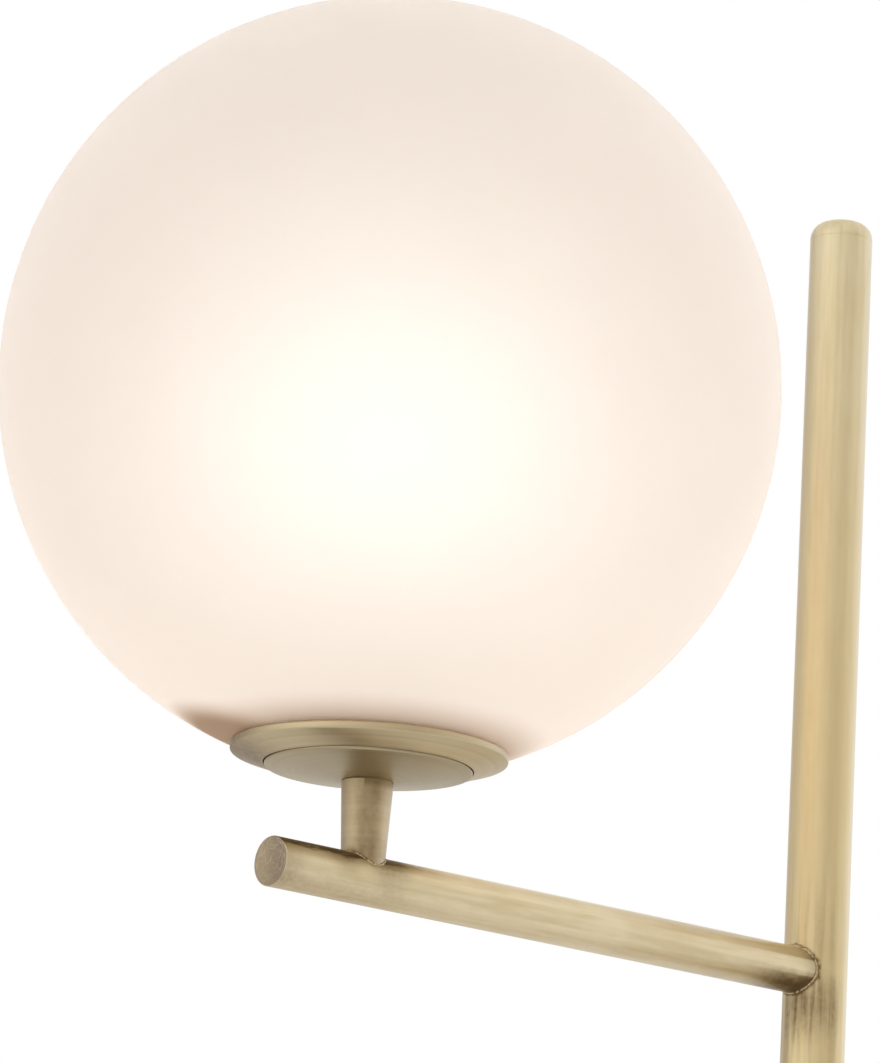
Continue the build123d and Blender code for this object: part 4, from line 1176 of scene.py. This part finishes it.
_, body_radius, body_foot, body_top = upright("bulb_body")
_, dome_radius, dome_foot, dome_top = upright("bulb_diffuser")
bulb_centre = Vector((plate_x, 0, dome_top - dome_radius))
housing_outline = [
    (0, body_foot, 0),
    (screw_radius + 0.8 * MM, body_foot, 0.3 * MM),
    (screw_radius + 2.0 * MM, body_foot + 4 * MM, 3.0 * MM),
    (body_radius, body_top - 3 * MM, 2.0 * MM),
    (body_radius, body_top, 0.3 * MM),
    (0, body_top, 0),
]
housing_mesh = turned("bulb_body_moulded", housing_outline, plate_x)
neck_angle = acos(body_radius / dome_radius)
dome_arc = [neck_angle * (row / DOME_NECK_ROWS - 1) for row in range(DOME_NECK_ROWS)]
dome_arc += [pi / 2 * row / DOME_ROWS for row in range(DOME_ROWS + 1)]
dome_outline = [(0, dome_foot, 0)]
for angle in dome_arc:
    dome_height = bulb_centre.z + dome_radius * sin(angle)
    dome_outline.append((dome_radius * max(cos(angle), 0), dome_height, 0))
dome_mesh = turned("bulb_diffuser_blown", dome_outline, plate_x, crease=BLOWN_CREASE)

dome = Finish("lit_dome")
dome_cloud = dome.noise(dome.place(), 30.0)
# Painted light: the plastic housing glows as well, fully by the dome and almost not at all at its
# foot.
dome_share = dome.step(dome.reading("Z"), body_foot, body_top) ** HOUSING_FADE
dome_lit = dome_share * (1 - HOUSING_LIGHT) + HOUSING_LIGHT
lit_dome = dome.surface(
    Base_Color=paint(226, 222, 214),
    Roughness=0.4,
    Emission_Color=dome.blend(dome_lit * (1.03 - dome_cloud * 0.06), UNLIT, DOME_LIGHT),
    Emission_Strength=DOME_STRENGTH,
)
piece(housing_mesh, lit_dome, "white_plastic", "bulb_body", body="bulb")
piece(dome_mesh, lit_dome, "white_plastic", "bulb_diffuser", body="bulb")


# The globe's collar: a turned brass ring that screws on the plate's thread. Its underside
# continues the plate's cone, and a narrow rim stands up round the glass.
RIM_WALL = 1.6 * MM
RIM_FOOT_RISE = 4.2 * MM
RIM_TOP_RISE = 7.1 * MM
RIM_ROUNDING = 0.7 * MM
SEAM_GAP = 0.4 * MM
STEP_RISE = 3.2 * MM
SHOULDER_RISE = 6.2 * MM
SHOULDER_RADIUS = 42.8 * MM
NECK_RADIUS = 40.5 * MM
THREAD_RADIUS = 36.35 * MM
SEAT_CLEARANCE = 1.9 * MM
SEAT_ROWS = 8
COLLAR_DARK_PLACE = Vector((-36 * MM, 34 * MM, 4 * MM))
COLLAR_DARK_REACH = 46 * MM

collar_x, collar_radius, collar_foot, collar_top = upright("globe_collar")
_, glass_radius, _, glass_top = upright("globe_glass")
glass_centre = glass_top - glass_radius
seat_sphere = glass_radius + SEAT_CLEARANCE
rim_inside = collar_radius - RIM_WALL
rim_top = collar_foot + RIM_TOP_RISE
collar_bore = plate_radius + SEAM_GAP
collar_outline = []
for row in range(SEAT_ROWS + 1):
    seat_radius = SHOULDER_RADIUS + (rim_inside - SHOULDER_RADIUS) * row / SEAT_ROWS
    seat_height = glass_centre - sqrt(seat_sphere**2 - seat_radius**2)
    collar_outline.append((seat_radius, seat_height, 0))
collar_outline += [
    (rim_inside, rim_top, RIM_ROUNDING),
    (collar_radius, rim_top, RIM_ROUNDING),
    (collar_radius, collar_foot + RIM_FOOT_RISE, RIM_ROUNDING),
    (collar_bore, collar_foot, 0.15 * MM),
    (collar_bore, collar_foot + STEP_RISE, 0),
    (THREAD_RADIUS, collar_foot + STEP_RISE, 0),
    (THREAD_RADIUS, collar_top, 0.2 * MM),
    (NECK_RADIUS, collar_top, 0.3 * MM),
    (NECK_RADIUS, collar_foot + SHOULDER_RISE, 0),
    (SHOULDER_RADIUS, collar_foot + SHOULDER_RISE, 0.2 * MM),
]
collar_mesh = turned("globe_collar_turned", collar_outline, collar_x, LATHE_STEPS)


def collar_left_darkening(finish):
    """Darker and browner on the far left, where the glass has its painted shade."""
    return finish.near(Vector((collar_x, 0, collar_foot)) + COLLAR_DARK_PLACE, COLLAR_DARK_REACH)


collar_brass = brass(
    "collar_brass", round_about(collar_x), patches=30.0, patina_and_shade=collar_left_darkening,
    light=paint(205, 190, 157), deep=paint(192, 176, 143), coarse=0.34, wax=0.0,
)
piece(collar_mesh, collar_brass, "brushed_brass", "globe_collar", body="globe")
dressed(rubber, "collar_seal")


# The globe: blown opal glass, clear with a thin milky layer outside, acid-dulled to a silky
# shine. The lamp inside lights it warm and even, less so where the collar shades it.
GLASS_WALL = 3.0 * MM
GLASS_HOLE = 44.0 * MM
GLASS_ROWS = 80
OPAL_MILK = paint(197, 191, 184)
OPAL_SHADE = paint(138, 108, 82)
OPAL_SHADE_FOOT = -4.5 * MM
OPAL_SHADE_TOP = 8.5 * MM
# Painted shade on the glass reaches higher towards the far left: its centre, its reach and how much
# higher.
OPAL_LEFT_SHADE = Vector((-40 * MM, 38 * MM, 0))
OPAL_LEFT_SHADE_REACH = 48 * MM
OPAL_LEFT_SHADE_RISE = 12 * MM
OPAL_GLOW = paint(241, 224, 211)
OPAL_GLOW_BY_RIM = paint(246, 205, 165)
OPAL_GLOW_STRENGTH = 0.355
OPAL_GLOW_FALL = 1.5
OPAL_SCATTER = 2.2
# The most the glow's share rises to, by the bulb. Shares end at 1, so it is divided by this.
GLOW_HEADROOM = 1.3


def glass_arc(sphere):
    """Points of the glass from its hole up to its crown."""
    hole_angle = acos(GLASS_HOLE / sphere)
    points = []
    for row in range(GLASS_ROWS + 1):
        angle = -hole_angle + (pi / 2 + hole_angle) * (row / GLASS_ROWS)
        points.append((max(sphere * cos(angle), 0.0), glass_centre + sphere * sin(angle), 0))
    return points


glass_outline = glass_arc(glass_radius) + glass_arc(glass_radius - GLASS_WALL)[::-1]
glass_mesh = turned("globe_glass_blown", glass_outline, collar_x, LATHE_STEPS, BLOWN_CREASE)

opal = Finish("opal_glass")
# Painted shade: the glass is darker and browner and glows less in a belt just above the collar's
# rim, and the belt rises towards the far left.
left_shade_place = Vector((collar_x, 0, rim_top)) + OPAL_LEFT_SHADE
shade_height = opal.reading("Z") - opal.near(left_shade_place, OPAL_LEFT_SHADE_REACH) * OPAL_LEFT_SHADE_RISE
lit = opal.step(shade_height, rim_top + OPAL_SHADE_FOOT, rim_top + OPAL_SHADE_TOP)
mottle = opal.noise(opal.place(), 22.0, detail=3.0)
falling_light = (glass_radius / opal.away(bulb_centre)) ** OPAL_GLOW_FALL
glow_share = falling_light * (0.2 + lit * 0.8) * (0.95 + mottle * 0.1) / GLOW_HEADROOM
opal_glass = opal.surface(
    Base_Color=opal.blend(lit, OPAL_SHADE, OPAL_MILK),
    Roughness=1.0,
    IOR=OPAL_SCATTER,
    Transmission_Weight=0.4,
    Specular_IOR_Level=0.15,
    Emission_Color=opal.blend(glow_share, UNLIT, opal.blend(lit, OPAL_GLOW_BY_RIM, OPAL_GLOW)),
    Emission_Strength=OPAL_GLOW_STRENGTH * GLOW_HEADROOM,
)
clear = Finish("clear_glass")
dust = clear.noise(clear.place(), 60.0)
clear_glass = clear.surface(
    Base_Color=clear.blend(dust, paint(250, 250, 248), paint(240, 240, 236)),
    Alpha=0.06,
    Roughness=0.1,
)
glass_mesh.materials.append(opal_glass)
glass_mesh.materials.append(clear_glass)
glass_middle = Vector((collar_x, 0, glass_centre))
for face in glass_mesh.polygons:
    inside = (face.center - glass_middle).length < glass_radius - GLASS_WALL / 2
    face.material_index = 1 if inside else 0
piece(glass_mesh, opal_glass, "opal_glass", "globe_glass", body="globe")
silicone = plain(
    "clear_silicone", paint(214, 214, 208), paint(200, 200, 194), scale=300.0, roughness=0.35
)
dressed(silicone, "globe_gasket")
dressed(aluminium, "globe_clamp_ring")


# The flex inside the lamp: it runs from the terminals up the pole, along the arm and up the
# stem to the lampholder, in one round white sheath.
sheath = plain(
    "lead_sheath", paint(226, 224, 218), paint(214, 212, 206), scale=700.0, roughness=0.5
)
dressed(sheath, "internal_lead")
